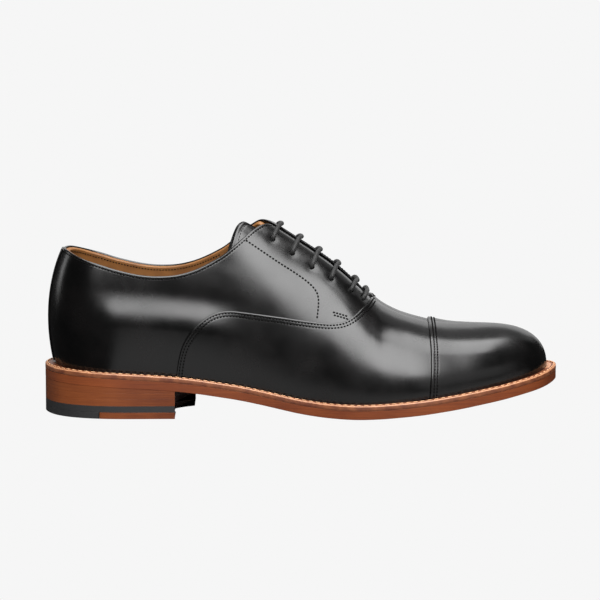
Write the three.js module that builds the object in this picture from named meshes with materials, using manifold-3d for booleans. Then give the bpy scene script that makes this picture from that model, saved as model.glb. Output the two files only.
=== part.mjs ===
// A man's cap-toe leather oxford, the right shoe of a pair. Millimetres.
// +X runs to the toe, +Y to the inner side of the foot, +Z up.
import * as THREE from 'three';
import Module from 'manifold-3d';

const wasm = await Module();
wasm.setup();

// ---------------------------------------------------------------- driving sizes
const soleLength = 300; // heel to toe along the outsole
const ballWidth = 101; // across the outsole at the ball
const facingHeight = 93; // welt up to the top of the facings
const heelHeight = 20.2; // ground up to the outsole at the back
const toeSpring = 18.2; // ground up to the outsole at the toe tip
const outsoleThick = 5;
const weltThick = 3.2;
const insoleThick = 2.8;
const leather = 1.2; // each layer of the upper
const layerGap = 0.3; // clear space between two layers of the upper
const glueGap = 0.25; // clear space between two curved sole layers
const liftGap = 0.05; // clear space between two flat heel layers
const laceRadius = 1.3;
const tongueThick = 2.2;
const facingGap = 3.4; // between the two facings at the top
const topWaist = 3.5; // how far each side leans in below the topline
const underlap = 6.5; // how far the quarters run on under the vamp
const eyeletRows = 6;

// ---------------------------------------------------------------- sizes that follow
const kx = soleLength / 300;
const ky = ballWidth / 101;
const kz = facingHeight / 93;
const pitch = leather + layerGap;
const laceClear = 0.2;
const holeRadius = laceRadius + 0.6; // the punched hole in the quarter
const eyeletWall = 0.4;
const eyeletSeat = holeRadius + eyeletWall + 0.35; // the hole in stay and lining
const eyeletFlange = eyeletSeat + 0.9;
const facetSlack = 0.75; // curved layers are faceted, so straight parts keep this clear
const eyeletTop = -leather - layerGap - facetSlack; // just under the quarter leather
const eyeletFoot = -3 * pitch - layerGap - 0.85; // the clenched flange inside
const innerRun = eyeletFoot - laceClear - laceRadius;
const tongueTop = innerRun - laceRadius - layerGap - 0.3;
const barHeight = laceRadius + 0.45;
const columns = 48; // steps round the last
const rows = 8; // steps up the last
const soleThick = outsoleThick + weltThick;

// ---------------------------------------------------------------- small maths
const mix = (a, b, t) => a + (b - a) * t;

function ramp(x, a, b) {
  const t = Math.min(1, Math.max(0, (x - a) / (b - a)));
  return t * t * (3 - 2 * t);
}

// A smooth line through [x, value] points, read at any x.
function through(points) {
  const slope = points.map((p, i) => {
    const a = points[Math.max(0, i - 1)];
    const b = points[Math.min(points.length - 1, i + 1)];
    return (b[1] - a[1]) / (b[0] - a[0]);
  });
  return (x) => {
    const last = points.length - 1;
    if (x <= points[0][0]) return points[0][1] + slope[0] * (x - points[0][0]);
    if (x >= points[last][0]) return points[last][1] + slope[last] * (x - points[last][0]);
    let i = 0;
    while (x > points[i + 1][0]) i += 1;
    const w = points[i + 1][0] - points[i][0];
    const t = (x - points[i][0]) / w;
    const a = points[i][1];
    const b = points[i + 1][1];
    const t2 = t * t;
    const t3 = t2 * t;
    return (
      a * (2 * t3 - 3 * t2 + 1) +
      b * (3 * t2 - 2 * t3) +
      w * slope[i] * (t3 - 2 * t2 + t) +
      w * slope[i + 1] * (t3 - t2)
    );
  };
}

// ---------------------------------------------------------------- side-view lines
// All are drawn at the nominal size: u from the back of the heel, w above the ground.
const bottomLine = through([
  [0, 20.2], [25, 19.2], [50, 18], [77, 16.2], [90, 14.7], [102, 12.9], [114, 11.1],
  [126, 8.9], [138, 6.5], [149, 4.4], [161, 2.9], [173, 2.25], [184, 2.2], [196, 2.8],
  [208, 3.8], [220, 4.9], [231, 6.2], [243, 7.8], [255, 9.7], [267, 11.6], [278, 13.6],
  [290, 15.9], [300, 18.2],
]);
const crownLine = through([
  [20, 128], [60, 129.5], [80, 129.5], [100, 127], [115, 121.8], [131, 112.9],
  [144.3, 104.2], [154.8, 97.1], [165.3, 89.6], [174.2, 82.3], [181.7, 75.1],
  [188, 68.3], [193.5, 62.9], [199.6, 58.8], [207, 55.2], [219.7, 51.2], [231.4, 48.4],
  [243, 47.5], [254.8, 47.4], [266, 47],
]);
const topline = [
  [8, 97.2], [15, 95.4], [30, 90.3], [43.6, 86.1], [57, 83.2], [68.3, 82.4],
  [80.6, 83.6], [91.8, 87.3], [103, 93.2], [109.8, 98.3], [115.3, 103.2],
  [120.5, 107.4], [125, 110], [129, 111.2], [133, 111.6], [138, 111.8],
];
const vampSeam = [
  [77.5, 22], [78.4, 31], [80.6, 40.6], [84, 47.6], [89.6, 54.4], [97.4, 60],
  [106.4, 62.2], [117.6, 61.6], [131, 60], [142.2, 58.5], [152, 57.1], [161.1, 56.1],
  [168.5, 55.8], [175.5, 56.8], [181.3, 60], [185.6, 63.6], [188.8, 65.4], [193, 66.2],
];
const stayLine = [
  [115.5, 100.5], [133.5, 89.8], [146, 81.8], [153.5, 76.2], [157, 72.4],
  [158.4, 68.5], [157.8, 60.5], [170, 57.6], [178, 60.2], [184, 63.4], [188.5, 65.4],
  [190.5, 67.5], [190.5, 100], [150, 125], [135, 109], [129, 107.2], [123.5, 105.2], [118, 101.6],
];
const counterLine = [
  [-25, 74], [12, 72], [32, 68], [52, 60], [70, 48], [82, 36], [90, 20], [92, 0], [-25, 0],
];
const eyelets = [
  [133.5, 102.7], [144.9, 94.7], [156.2, 86.8], [167.5, 80.2], [179.1, 73.2], [186.4, 68],
];

const nominalWelt = (u) => bottomLine(u) + 8.2;

// The edge of the outsole's underside at the real size.
function soleUnder(u) {
  const low = 2.2;
  const k = u < 180 ? (heelHeight - low) / 18 : (toeSpring - low) / 16;
  return low + (bottomLine(u) - low) * k;
}

const weltTop = (u) => soleUnder(u) + soleThick;

// A nominal side-view point at the real size.
const place = ([u, w]) => [u * kx, weltTop(u) + (w - nominalWelt(u)) * kz];

// ---------------------------------------------------------------- the last
// Stations round the outline, from the heel back along the outer side to the toe and
// home along the inner side: outline u and v, the welt's reach past the last, where
// the rib ends on the crown, and the rib's rise, width and bulge.
const stations = [
  [0, 0, 6.6, 62, 0.45, 0.9, 12.5],
  [9.5, -22.5, 5.4, 63, 0.45, 0.88, 9.5],
  [34, -33.5, 4.6, 68, 0.45, 0.84, 7],
  [75, -34, 4.8, 86, 0.42, 0.84, 5],
  [112, -34.4, 5.2, 118, 0.42, 0.74, 3],
  [150, -41, 5.8, 150, 0.4, 0.62, 1.5],
  [183, -49, 6.8, 180, 0.42, 0.66, 1.5],
  [213, -50.2, 7.4, 206, 0.5, 0.72, 2],
  [243, -44.2, 8.3, 231, 0.58, 0.75, 2.2],
  [270, -34.2, 8.5, 248, 0.62, 0.74, 2.4],
  [291, -19, 8.5, 257, 0.64, 0.72, 2.5],
  [299.8, 3.5, 8.6, 260, 0.65, 0.7, 2.5],
  [294.5, 22.5, 8.5, 257, 0.64, 0.72, 2.5],
  [275, 37.5, 8.5, 248, 0.62, 0.74, 2.4],
  [247, 47, 8.3, 231, 0.58, 0.75, 2.2],
  [215, 50.8, 7.4, 206, 0.5, 0.72, 2],
  [183, 45, 6.8, 180, 0.42, 0.66, 1.5],
  [150, 34, 5.8, 150, 0.4, 0.62, 2],
  [112, 29, 5.2, 118, 0.42, 0.74, 4],
  [75, 31.5, 4.8, 86, 0.42, 0.84, 5.5],
  [34, 32.5, 4.6, 68, 0.45, 0.84, 7],
  [9.5, 22, 5.4, 63, 0.45, 0.88, 9.5],
];

// The station row at T, from 0 to 1 round the closed loop.
function station(T) {
  const n = stations.length;
  const s = (((T % 1) + 1) % 1) * n;
  const i = Math.floor(s);
  const t = s - i;
  const [a, b, c, d] = [-1, 0, 1, 2].map((k) => stations[(i + k + n) % n]);
  return b.map((_, k) => {
    const m0 = (c[k] - a[k]) / 2;
    const m1 = (d[k] - b[k]) / 2;
    const t2 = t * t;
    const t3 = t2 * t;
    return (
      b[k] * (2 * t3 - 3 * t2 + 1) + c[k] * (3 * t2 - 2 * t3) +
      m0 * (t3 - 2 * t2 + t) + m1 * (t3 - t2)
    );
  });
}

// The outline moved in by a distance, as a plan point.
function planPoint(T, inset) {
  const at = (q) => {
    const s = station(q);
    return [s[0] * kx, s[1] * ky];
  };
  const [x, y] = at(T);
  const a = at(T - 0.004);
  const b = at(T + 0.004);
  const dx = b[0] - a[0];
  const dy = b[1] - a[1];
  const len = Math.hypot(dx, dy);
  return [x - (dy / len) * inset, y + (dx / len) * inset];
}

const crownY = (u) => 5 * ramp(u, 70, 250) * ky;

// A point on the last: h = 0 beside the welt, h = 1 on the crown.
function lastPoint(T, h) {
  const s = station(T);
  const [fx, fy] = planPoint(T, s[2]);
  const skirt = planPoint(T, s[2] - 2 * pitch)[0];
  const fz = weltTop(Math.max(fx, skirt) / kx) - weltThick + glueGap + 0.1;
  const cx = s[3] * kx;
  const cy = crownY(s[3]);
  const cz = place([s[3], crownLine(s[3])])[1];
  const out = planPoint(T, s[2] - 1);
  const ox = out[0] - fx;
  const oy = out[1] - fy;
  const p1 = [fx + ox * s[6], fy + oy * s[6], mix(fz, cz, s[4])];
  const p2 = [mix(cx, fx, s[5]), mix(cy, fy, s[5]), cz];
  const a = (1 - h) ** 3;
  const b = 3 * (1 - h) ** 2 * h;
  const c = 3 * (1 - h) * h * h;
  const d = h ** 3;
  const x = a * fx + b * p1[0] + c * p2[0] + d * cx;
  const y = a * fy + b * p1[1] + c * p2[1] + d * cy;
  const z = a * fz + b * p1[2] + c * p2[2] + d * cz;
  // the quarters lean in under the topline, from the heel to the instep
  const rise = (z - weltTop(x / kx)) / kz;
  const along = ramp(x / kx, 20, 45) * (1 - ramp(x / kx, 92, 132)) * (1 - ramp(h, 0.5, 0.8));
  const lean = topWaist * ky * ramp(rise, 27, 49) * along * (T < 0.5 ? 1 : -1);
  return new THREE.Vector3(x, y + lean, z);
}

function lastNormal(T, h) {
  if (h > 0.999) {
    const u = station(T)[3];
    const a = place([u - 1, crownLine(u - 1)]);
    const b = place([u + 1, crownLine(u + 1)]);
    return new THREE.Vector3(a[1] - b[1], 0, b[0] - a[0]).normalize();
  }
  const e = 0.002;
  const dT = lastPoint(T + e, h).sub(lastPoint(T - e, h));
  const dh = lastPoint(T, Math.min(1, h + e)).sub(lastPoint(T, Math.max(0, h - e)));
  const n = dT.cross(dh);
  if (h < 0.001) n.z = 0;
  return n.normalize();
}

// A point at a level above (+) or below (-) the last's surface.
const onLast = (T, h, level) => lastPoint(T, h).addScaledVector(lastNormal(T, h), level);

// Where on one side of the last a side-view point lies: [T, h].
function findOnLast(target, side) {
  const [x, z] = place(target);
  let T = 0.25;
  let h = 0.7;
  for (let k = 0; k < 40; k += 1) {
    const q = side < 0 ? T : 1 - T;
    const p = lastPoint(q, h);
    const e = 0.0005;
    const pt = lastPoint(side < 0 ? T + e : 1 - T - e, h);
    const ph = lastPoint(q, h + e);
    const a = (pt.x - p.x) / e;
    const b = (ph.x - p.x) / e;
    const c = (pt.z - p.z) / e;
    const d = (ph.z - p.z) / e;
    const det = a * d - b * c;
    const rx = x - p.x;
    const rz = z - p.z;
    T += Math.max(-0.05, Math.min(0.05, (d * rx - b * rz) / det));
    h += Math.max(-0.1, Math.min(0.1, (a * rz - c * rx) / det));
    h = Math.min(0.985, Math.max(0.02, h));
  }
  return [side < 0 ? T : 1 - T, h];
}

// ---------------------------------------------------------------- meshes and solids
// A closed surface from a list of triangles of points, with shared corners joined.
function solidFrom(triangles) {
  const seen = new Map();
  const points = [];
  const faces = [];
  const index = (p) => {
    const key = [p.x, p.y, p.z].map((v) => Math.round(v * 2000)).join();
    if (!seen.has(key)) {
      seen.set(key, seen.size);
      points.push(p.x, p.y, p.z);
    }
    return seen.get(key);
  };
  for (const t of triangles) {
    const [a, b, c] = t.map(index);
    if (a !== b && b !== c && c !== a) faces.push(a, b, c);
  }
  return new wasm.Manifold(
    new wasm.Mesh({
      numProp: 3,
      vertProperties: new Float32Array(points),
      triVerts: new Uint32Array(faces),
    }),
  );
}

function solidOf(geometry) {
  const g = geometry.index ? geometry.toNonIndexed() : geometry;
  const at = g.attributes.position;
  const triangles = [];
  for (let i = 0; i < at.count; i += 3) {
    triangles.push([0, 1, 2].map((k) => new THREE.Vector3().fromBufferAttribute(at, i + k)));
  }
  return solidFrom(triangles);
}

function geometryOf(solid) {
  const m = solid.getMesh();
  const g = new THREE.BufferGeometry();
  g.setAttribute('position', new THREE.BufferAttribute(new Float32Array(m.vertProperties), 3));
  g.setIndex(new THREE.BufferAttribute(new Uint32Array(m.triVerts), 1));
  return g;
}

function quad(list, a, b, c, d) {
  list.push([a, b, c], [a, c, d]);
}

// The last's whole skin between two levels, open underneath.
function skin(inner, outer) {
  const grid = (level) =>
    Array.from({ length: columns }, (_, i) =>
      Array.from({ length: rows + 1 }, (_, j) => {
        const mate = j === rows ? Math.min(i, columns - i) : i;
        return onLast(mate / columns, j / rows, level);
      }),
    );
  const out = grid(outer);
  const inn = grid(inner);
  const list = [];
  for (let i = 0; i < columns; i += 1) {
    const k = (i + 1) % columns;
    for (let j = 0; j < rows; j += 1) {
      quad(list, out[i][j], out[k][j], out[k][j + 1], out[i][j + 1]);
      quad(list, inn[i][j], inn[i][j + 1], inn[k][j + 1], inn[k][j]);
    }
    quad(list, inn[i][0], inn[k][0], out[k][0], out[i][0]);
  }
  return solidFrom(list);
}

// The skin of one layer: layer 0 is the quarters' leather, 1 lies over it, -1 under it.
const layer = (n) => skin(n * pitch - leather, n * pitch);

// A side-view shape carried right across the shoe.
function across(points, y0 = -120 * ky, y1 = 120 * ky) {
  const shape = new THREE.Shape(points.map(([x, z]) => new THREE.Vector2(x, z)));
  const g = new THREE.ExtrudeGeometry(shape, { depth: y1 - y0, bevelEnabled: false });
  g.rotateX(Math.PI / 2);
  g.translate(0, y1, 0);
  return solidOf(g);
}

// A plan shape carried up from z0 to z1.
function upright(points, z0, z1) {
  const shape = new THREE.Shape(points.map(([x, y]) => new THREE.Vector2(x, y)));
  const g = new THREE.ExtrudeGeometry(shape, { depth: z1 - z0, bevelEnabled: false });
  g.translate(0, 0, z0);
  return solidOf(g);
}

// A round bar from a to b.
function rod(a, b, radius, sides = 10) {
  const g = new THREE.CylinderGeometry(radius, radius, a.distanceTo(b), sides);
  const turn = new THREE.Quaternion();
  turn.setFromUnitVectors(new THREE.Vector3(0, 1, 0), b.clone().sub(a).normalize());
  g.applyQuaternion(turn);
  g.translate((a.x + b.x) / 2, (a.y + b.y) / 2, (a.z + b.z) / 2);
  return solidOf(g);
}

// A side-view line moved to its right by a distance, at the nominal size.
function beside(points, distance) {
  return points.map((p, i) => {
    const a = points[Math.max(0, i - 1)];
    const b = points[Math.min(points.length - 1, i + 1)];
    const len = Math.hypot(b[0] - a[0], b[1] - a[1]);
    const [dx, dz] = [(b[0] - a[0]) / len, (b[1] - a[1]) / len];
    return [p[0] + dz * distance, p[1] - dx * distance];
  });
}

// The half of the shoe on one side, with the facings' gap along the instep.
function half(side) {
  const edge = [[-40, 0.15], [70, 0.15], [105, 0.5]];
  for (let u = 120; u <= 215; u += 10) edge.push([u, mix(facingGap, 2.2, ramp(u, 130, 190)) / 2]);
  const points = edge.map(([u, w]) => [u * kx, crownY(u) * ramp(u, 60, 110) + side * w]);
  const far = side * 120 * ky;
  points.push([215 * kx, far], [-40 * kx, far]);
  return upright(points, -50, 400);
}

// ---------------------------------------------------------------- the shoe's sub-parts
const leatherBlack = { color: 0x12110f, roughness: 0.24 };
const liningTan = { color: 0xb06f35, roughness: 0.6 };
const soleBrown = { color: 0x8a4a2c, roughness: 0.4 };
const weltTan = { color: 0xa5623b, roughness: 0.5 };
const rubberBlack = { color: 0x38383a, roughness: 0.8 };
const stiffCard = { color: 0xb9a98c, roughness: 0.9 };
const brass = { color: 0xb8924a, roughness: 0.35, metalness: 1 };
const steel = { color: 0x9a9c9e, roughness: 0.35, metalness: 1 };
const cork = { color: 0xb58a58, roughness: 0.95 };
const lacing = { color: 0x2b2928, roughness: 0.7 };
const plastic = { color: 0x1c1c1c, roughness: 0.3 };

const group = new THREE.Group();
group.name = 'leather_oxford_shoe';

function add(name, solid, look) {
  const g = solid.isBufferGeometry ? solid : geometryOf(solid);
  const mesh = new THREE.Mesh(g, new THREE.MeshStandardMaterial({ metalness: 0, ...look }));
  mesh.name = name;
  group.add(mesh);
}

// Everything of a skin that lies behind and above a seam line and under the topline.
function quarterShape(seam, drop) {
  const front = seam[seam.length - 1];
  return [
    [-30, -10], [seam[0][0], -10], ...seam, [front[0] + 3, 135], [138, 135],
    ...topline.map(([u, w]) => [u, w - drop]).reverse(), [-30, 98 - drop],
  ].map(place);
}

// Everything of a skin that lies in front of and below a seam line, back from u = front.
function vampShape(seam, front) {
  const last = seam[seam.length - 1];
  return [
    [seam[0][0], -12], ...seam, [last[0] + 1, 140], [front, 140], [front, -12],
  ].map(place);
}

// The eyelets' places: [T, h] on the outer side and on the inner side.
const eyeletSpots = [-1, 1].map((side) => eyelets.map((e) => findOnLast(e, side)));

function punched(solid, side, radius) {
  let cut = solid;
  for (const [T, h] of eyeletSpots[side < 0 ? 0 : 1]) {
    cut = cut.subtract(rod(onLast(T, h, -9), onLast(T, h, 5), radius));
  }
  return cut;
}

function makeQuarters() {
  const under = beside(vampSeam, underlap);
  const shape = across(quarterShape(under, 0));
  const lining = across(quarterShape(under, 0.5));
  const skinOut = layer(0).intersect(shape);
  const skinIn = layer(-2).intersect(lining);
  for (const [side, tag] of [[-1, 'lateral'], [1, 'medial']]) {
    add(`quarter_${tag}`, punched(skinOut.intersect(half(side)), side, holeRadius), leatherBlack);
    const inner = punched(skinIn.intersect(half(side)), side, eyeletSeat);
    add(`quarter_lining_${tag}`, inner, liningTan);
  }
}

function makeStays() {
  const strip = layer(-1).intersect(across(stayLine.map(place)));
  for (const [side, tag] of [[-1, 'lateral'], [1, 'medial']]) {
    add(`facing_stay_${tag}`, punched(strip.intersect(half(side)), side, eyeletSeat), stiffCard);
  }
}

function makeCounter() {
  add('heel_counter', layer(-1).intersect(across(counterLine.map(place))), stiffCard);
}

function makeVamp() {
  add('vamp', layer(1).intersect(across(vampShape(vampSeam, 236))), leatherBlack);
  const inner = across(vampShape(beside(vampSeam, underlap + 0.7), 330));
  add('vamp_lining', layer(0).intersect(inner), liningTan);
}

function makeToe() {
  const cap = [[225, -12], [226.3, 25], [226.5, 38], [225.6, 50], [223.6, 75], [340, 75], [340, -12]];
  add('toe_cap', layer(2).intersect(across(cap.map(place))), leatherBlack);
  const puff = [[237, -12], [237, 90], [340, 90], [340, -12]];
  add('toe_puff', layer(1).intersect(across(puff.map(place))), stiffCard);
}

function makeBackStrip() {
  const side = [[-30, 29.4], [25, 29.4], [25, 95.2], [14.8, 96.4], [-30, 98]].map(place);
  const plan = [[-30, -4], [4, -4], [30, -3], [30, 3], [4, 4], [-30, 4]];
  const strip = layer(1).intersect(across(side));
  add('back_strip', strip.intersect(upright(plan.map(([x, y]) => [x * kx, y * ky]), 0, 300)), leatherBlack);
}

function makeTongue() {
  const shape = [
    [106.5, 88], [113.5, 104], [120.5, 121], [133, 125], [205, 75], [197, 58.5],
    [190, 50], [176, 56], [162, 68], [146, 80], [128, 88],
  ].map(place);
  const body = skin(tongueTop - tongueThick, tongueTop).intersect(across(shape));
  add('tongue', body, leatherBlack);
}

// One blind eyelet: a tube through stay and lining with its flange clenched inside.
function makeEyelets() {
  const r0 = holeRadius;
  const r1 = holeRadius + eyeletWall;
  const profile = [
    [r0, eyeletFoot], [eyeletFlange, eyeletFoot], [eyeletFlange, eyeletFoot + 0.35],
    [r1, eyeletFoot + 0.35], [r1, eyeletTop], [r0, eyeletTop], [r0, eyeletFoot],
  ].map(([r, y]) => new THREE.Vector2(r, y));
  for (const [k, tag] of [[0, 'lateral'], [1, 'medial']]) {
    eyeletSpots[k].forEach(([T, h], i) => {
      const g = new THREE.LatheGeometry(profile, 10);
      const turn = new THREE.Quaternion();
      turn.setFromUnitVectors(new THREE.Vector3(0, 1, 0), lastNormal(T, h));
      g.applyQuaternion(turn);
      const p = lastPoint(T, h);
      g.translate(p.x, p.y, p.z);
      add(`eyelet_${tag}_${i + 1}`, solidOf(g), brass);
    });
  }
}

// How much nearer the toe each row's bar crosses the crown than its eyelets lie.
const barLean = [4.6, 4.8, 4.6, 4, 3, 1.4];

// How much deeper than the inside runs the tucked-in end by the throat lies.
const tailSink = 0.45;

// The lace's route: a straight bar over every row, and a run up inside on one side
// then the other between them; both ends are tucked in behind the outer facing.
function laceRoute() {
  const points = [];
  const at = (a, b, s, level) => onLast(mix(a[0], b[0], s), mix(a[1], b[1], s), level);
  const crown = (spot, row) => {
    // the crown point the bar crosses: a little nearer the toe than the eyelet
    const x = lastPoint(...spot).x + barLean[row] * kx;
    let T = spot[0];
    for (let k = 0; k < 30; k += 1) T += ((x / kx - station(T)[3]) / 900) * (spot[0] < 0.5 ? 1 : -1);
    return [T, 1];
  };
  const hole = (spot, up) => {
    const levels = [-4.6, -3, -1.2, 0];
    for (const v of up ? levels : levels.reverse()) points.push(onLast(...spot, v));
  };
  const inside = (spot, toward, leave) => {
    const step = 1.9 / lastPoint(...spot).distanceTo(lastPoint(...toward));
    const turn = [[0.06, 0.35], [0.35, 0.8], [0.95, 1]];
    const list = turn.map(([s, f]) => at(spot, toward, s * step, mix(-5, innerRun, f)));
    points.push(...(leave ? list : list.reverse()));
  };
  const half1 = (spot, row, leave) => {
    const top = crown(spot, row);
    const step = 2.2 / lastPoint(...spot).distanceTo(onLast(...top, 0));
    const list = [[0.06, 0.45], [0.36, 0.85], [0.95, 1]];
    const part = list.map(([s, f]) => at(spot, top, s * step, mix(0.1, barHeight, f)));
    part.push(at(spot, top, 0.5, barHeight), at(spot, top, 0.8, barHeight));
    points.push(...(leave ? part : part.reverse()));
  };
  const outward = (spot, drop) => [spot[0], spot[1] - drop];
  let side = 0;
  const first = eyeletSpots[0][0];
  const tailA = outward(eyeletSpots[0][1], 0.1);
  points.push(at(tailA, outward(eyeletSpots[0][0], 0.1), 0, innerRun));
  points.push(at(tailA, outward(eyeletSpots[0][0], 0.1), 0.5, innerRun));
  inside(first, outward(eyeletSpots[0][0], 0.12), false);
  for (let row = 0; row < eyeletRows; row += 1) {
    const here = eyeletSpots[side][row];
    const there = eyeletSpots[1 - side][row];
    hole(here, true);
    half1(here, row, true);
    half1(there, row, false);
    hole(there, false);
    side = 1 - side;
    if (row + 1 < eyeletRows) {
      const next = eyeletSpots[side][row + 1];
      inside(there, next, true);
      points.push(at(there, next, 0.5, innerRun));
      inside(next, there, false);
    }
  }
  const end = eyeletSpots[side][eyeletRows - 1];
  const up = outward(eyeletSpots[side][eyeletRows - 2], 0.12);
  inside(end, outward(end, 0.12), true);
  points.push(at(outward(end, 0.12), up, 0.35, innerRun - tailSink));
  points.push(at(outward(end, 0.12), up, 1, innerRun - tailSink));
  return points;
}

function makeLace() {
  const points = laceRoute();
  const path = new THREE.CatmullRomCurve3(points, false, 'centripetal');
  path.getPointAt = (u, target) => path.getPoint(u, target);
  path.getTangentAt = (u, target) => path.getTangent(u, target);
  const shape = new THREE.Shape();
  for (let k = 0; k < 6; k += 1) {
    const a = (k / 6) * Math.PI * 2;
    const xy = [Math.cos(a) * laceRadius, Math.sin(a) * laceRadius];
    if (k) shape.lineTo(...xy);
    else shape.moveTo(...xy);
  }
  const steps = points.length - 1;
  const g = new THREE.ExtrudeGeometry(shape, { steps, extrudePath: path, bevelEnabled: false });
  add('lace', solidOf(g), lacing);
  const tip = (a, b, name) => {
    const way = a.clone().sub(b).normalize();
    const from = a.clone().addScaledVector(way, 0.1);
    add(name, rod(from, a.clone().addScaledVector(way, 14), laceRadius - 0.1, 12), plastic);
  };
  tip(points[0], points[1], 'aglet_1');
  tip(points[points.length - 1], points[points.length - 2], 'aglet_2');
}

// A flat layer inside the outline: top and bottom heights depend on u and on how far
// across the point lies (0 in the middle, 1 at the rim).
function plate(inset, top, bottom) {
  const n = columns + 12;
  const rim = Array.from({ length: n }, (_, i) => {
    const T = i / n;
    return planPoint(T, inset(T));
  });
  const clampX = (x) => Math.min(272 * kx, Math.max(30 * kx, x));
  const mid = rim.map(([x, y], i) => {
    const [mx, my] = rim[(n - i) % n];
    const cx = clampX((x + mx) / 2);
    const f = ramp(cx / kx, 30, 272);
    const cy = cx > 30 * kx && cx < 272 * kx ? (y + my) / 2 : mix(0, 5 * ky, f);
    return [cx, cy];
  });
  const ring = (i, r, height) => {
    const x = mix(mid[i][0], rim[i][0], r);
    const y = mix(mid[i][1], rim[i][1], r);
    return new THREE.Vector3(x, y, height(x / kx, r));
  };
  const list = [];
  const steps = [1, 0.75, 0.45, 0];
  for (let i = 0; i < n; i += 1) {
    const k = (i + 1) % n;
    for (let s = 0; s < 3; s += 1) {
      const [a, b] = [steps[s], steps[s + 1]];
      quad(list, ring(i, a, top), ring(k, a, top), ring(k, b, top), ring(i, b, top));
      quad(list, ring(i, a, bottom), ring(i, b, bottom), ring(k, b, bottom), ring(k, a, bottom));
    }
    quad(list, ring(i, 1, bottom), ring(k, 1, bottom), ring(k, 1, top), ring(i, 1, top));
  }
  return solidFrom(list);
}

const nailSpots = [[17, 0], [31, -17], [31, 17], [55, -19], [55, 18]];
const nailRadius = 1;
const nailClear = 0.2;

function nailed(solid) {
  let cut = solid;
  for (const [x, y] of nailSpots) {
    const foot = new THREE.Vector3(x * kx, y * ky, -1);
    const head = new THREE.Vector3(x * kx, y * ky, heelHeight + outsoleThick + 20);
    cut = cut.subtract(rod(foot, head, nailRadius + nailClear, 8));
  }
  return cut;
}

const outsoleTop = (u) => soleUnder(u) + outsoleThick;

function makeSole() {
  const drop = (u) => 2.15 * ramp(u, 96, 160) * (1 - 0.55 * ramp(u, 200, 290));
  const under = (u, r) => soleUnder(u) - drop(u) * (1 - r * r);
  add('outsole', nailed(plate(() => 0, outsoleTop, under)), soleBrown);

  const deepInset = (T) => {
    const s = station(T);
    return s[2] + mix(2 * pitch + leather, leather, ramp(s[0], 94, 104)) + 0.4;
  };
  const inTop = (u) => outsoleTop(u) + 2.1 + insoleThick;
  const inFoot = (u) => outsoleTop(u) + 2.1;
  add('insole', plate(deepInset, inTop, inFoot), liningTan);

  const sockSide = [[10, 0], [10, 70], [92, 70], [92, 0]].map(place);
  const sock = plate((T) => deepInset(T) + 2.2, (u) => inTop(u) + 1.2, (u) => inTop(u) + glueGap);
  add('heel_sock', sock.intersect(across(sockSide)), liningTan);

  const fill = plate((T) => deepInset(T) + 1, (u) => inFoot(u) - glueGap, (u) => outsoleTop(u) + glueGap);
  const fillSide = [[152, -20], [152, 70], [330, 70], [330, -20]].map(place);
  add('cork_filler', fill.intersect(across(fillSide)), cork);
}

function makeShank() {
  const upper = [];
  const lower = [];
  for (let u = 48; u <= 148; u += 10) {
    lower.push([u * kx, outsoleTop(u) + 0.35]);
    upper.push([u * kx, outsoleTop(u) + 1.65]);
  }
  add('shank', across([...lower, ...upper.reverse()], -7.5 * ky, 7.5 * ky), steel);
}

// The welt: a strip round the whole shoe between the upper and the sole's edge.
function makeWelt() {
  const n = columns + 12;
  const grip = (u) =>
    0.75 + pitch * ramp(u, 62, 74) + pitch * ramp(u, 208, 221);
  const list = [];
  const section = Array.from({ length: n }, (_, i) => {
    const T = i / n;
    const s = station(T);
    const point = (inset, height) => {
      const [x, y] = planPoint(T, inset);
      return new THREE.Vector3(x, y, height(x / kx));
    };
    const inner = s[2] - grip(s[0]);
    const foot = (u) => outsoleTop(u) + glueGap;
    return [
      point(0, foot), point(0, (u) => weltTop(u) - 0.9), point(1, weltTop),
      point(inner, weltTop), point(inner, foot),
    ];
  });
  for (let i = 0; i < n; i += 1) {
    const a = section[i];
    const b = section[(i + 1) % n];
    for (let k = 0; k < a.length; k += 1) {
      const m = (k + 1) % a.length;
      quad(list, a[k], b[k], b[m], a[m]);
    }
  }
  add('welt', solidFrom(list), weltTan);
}

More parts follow.
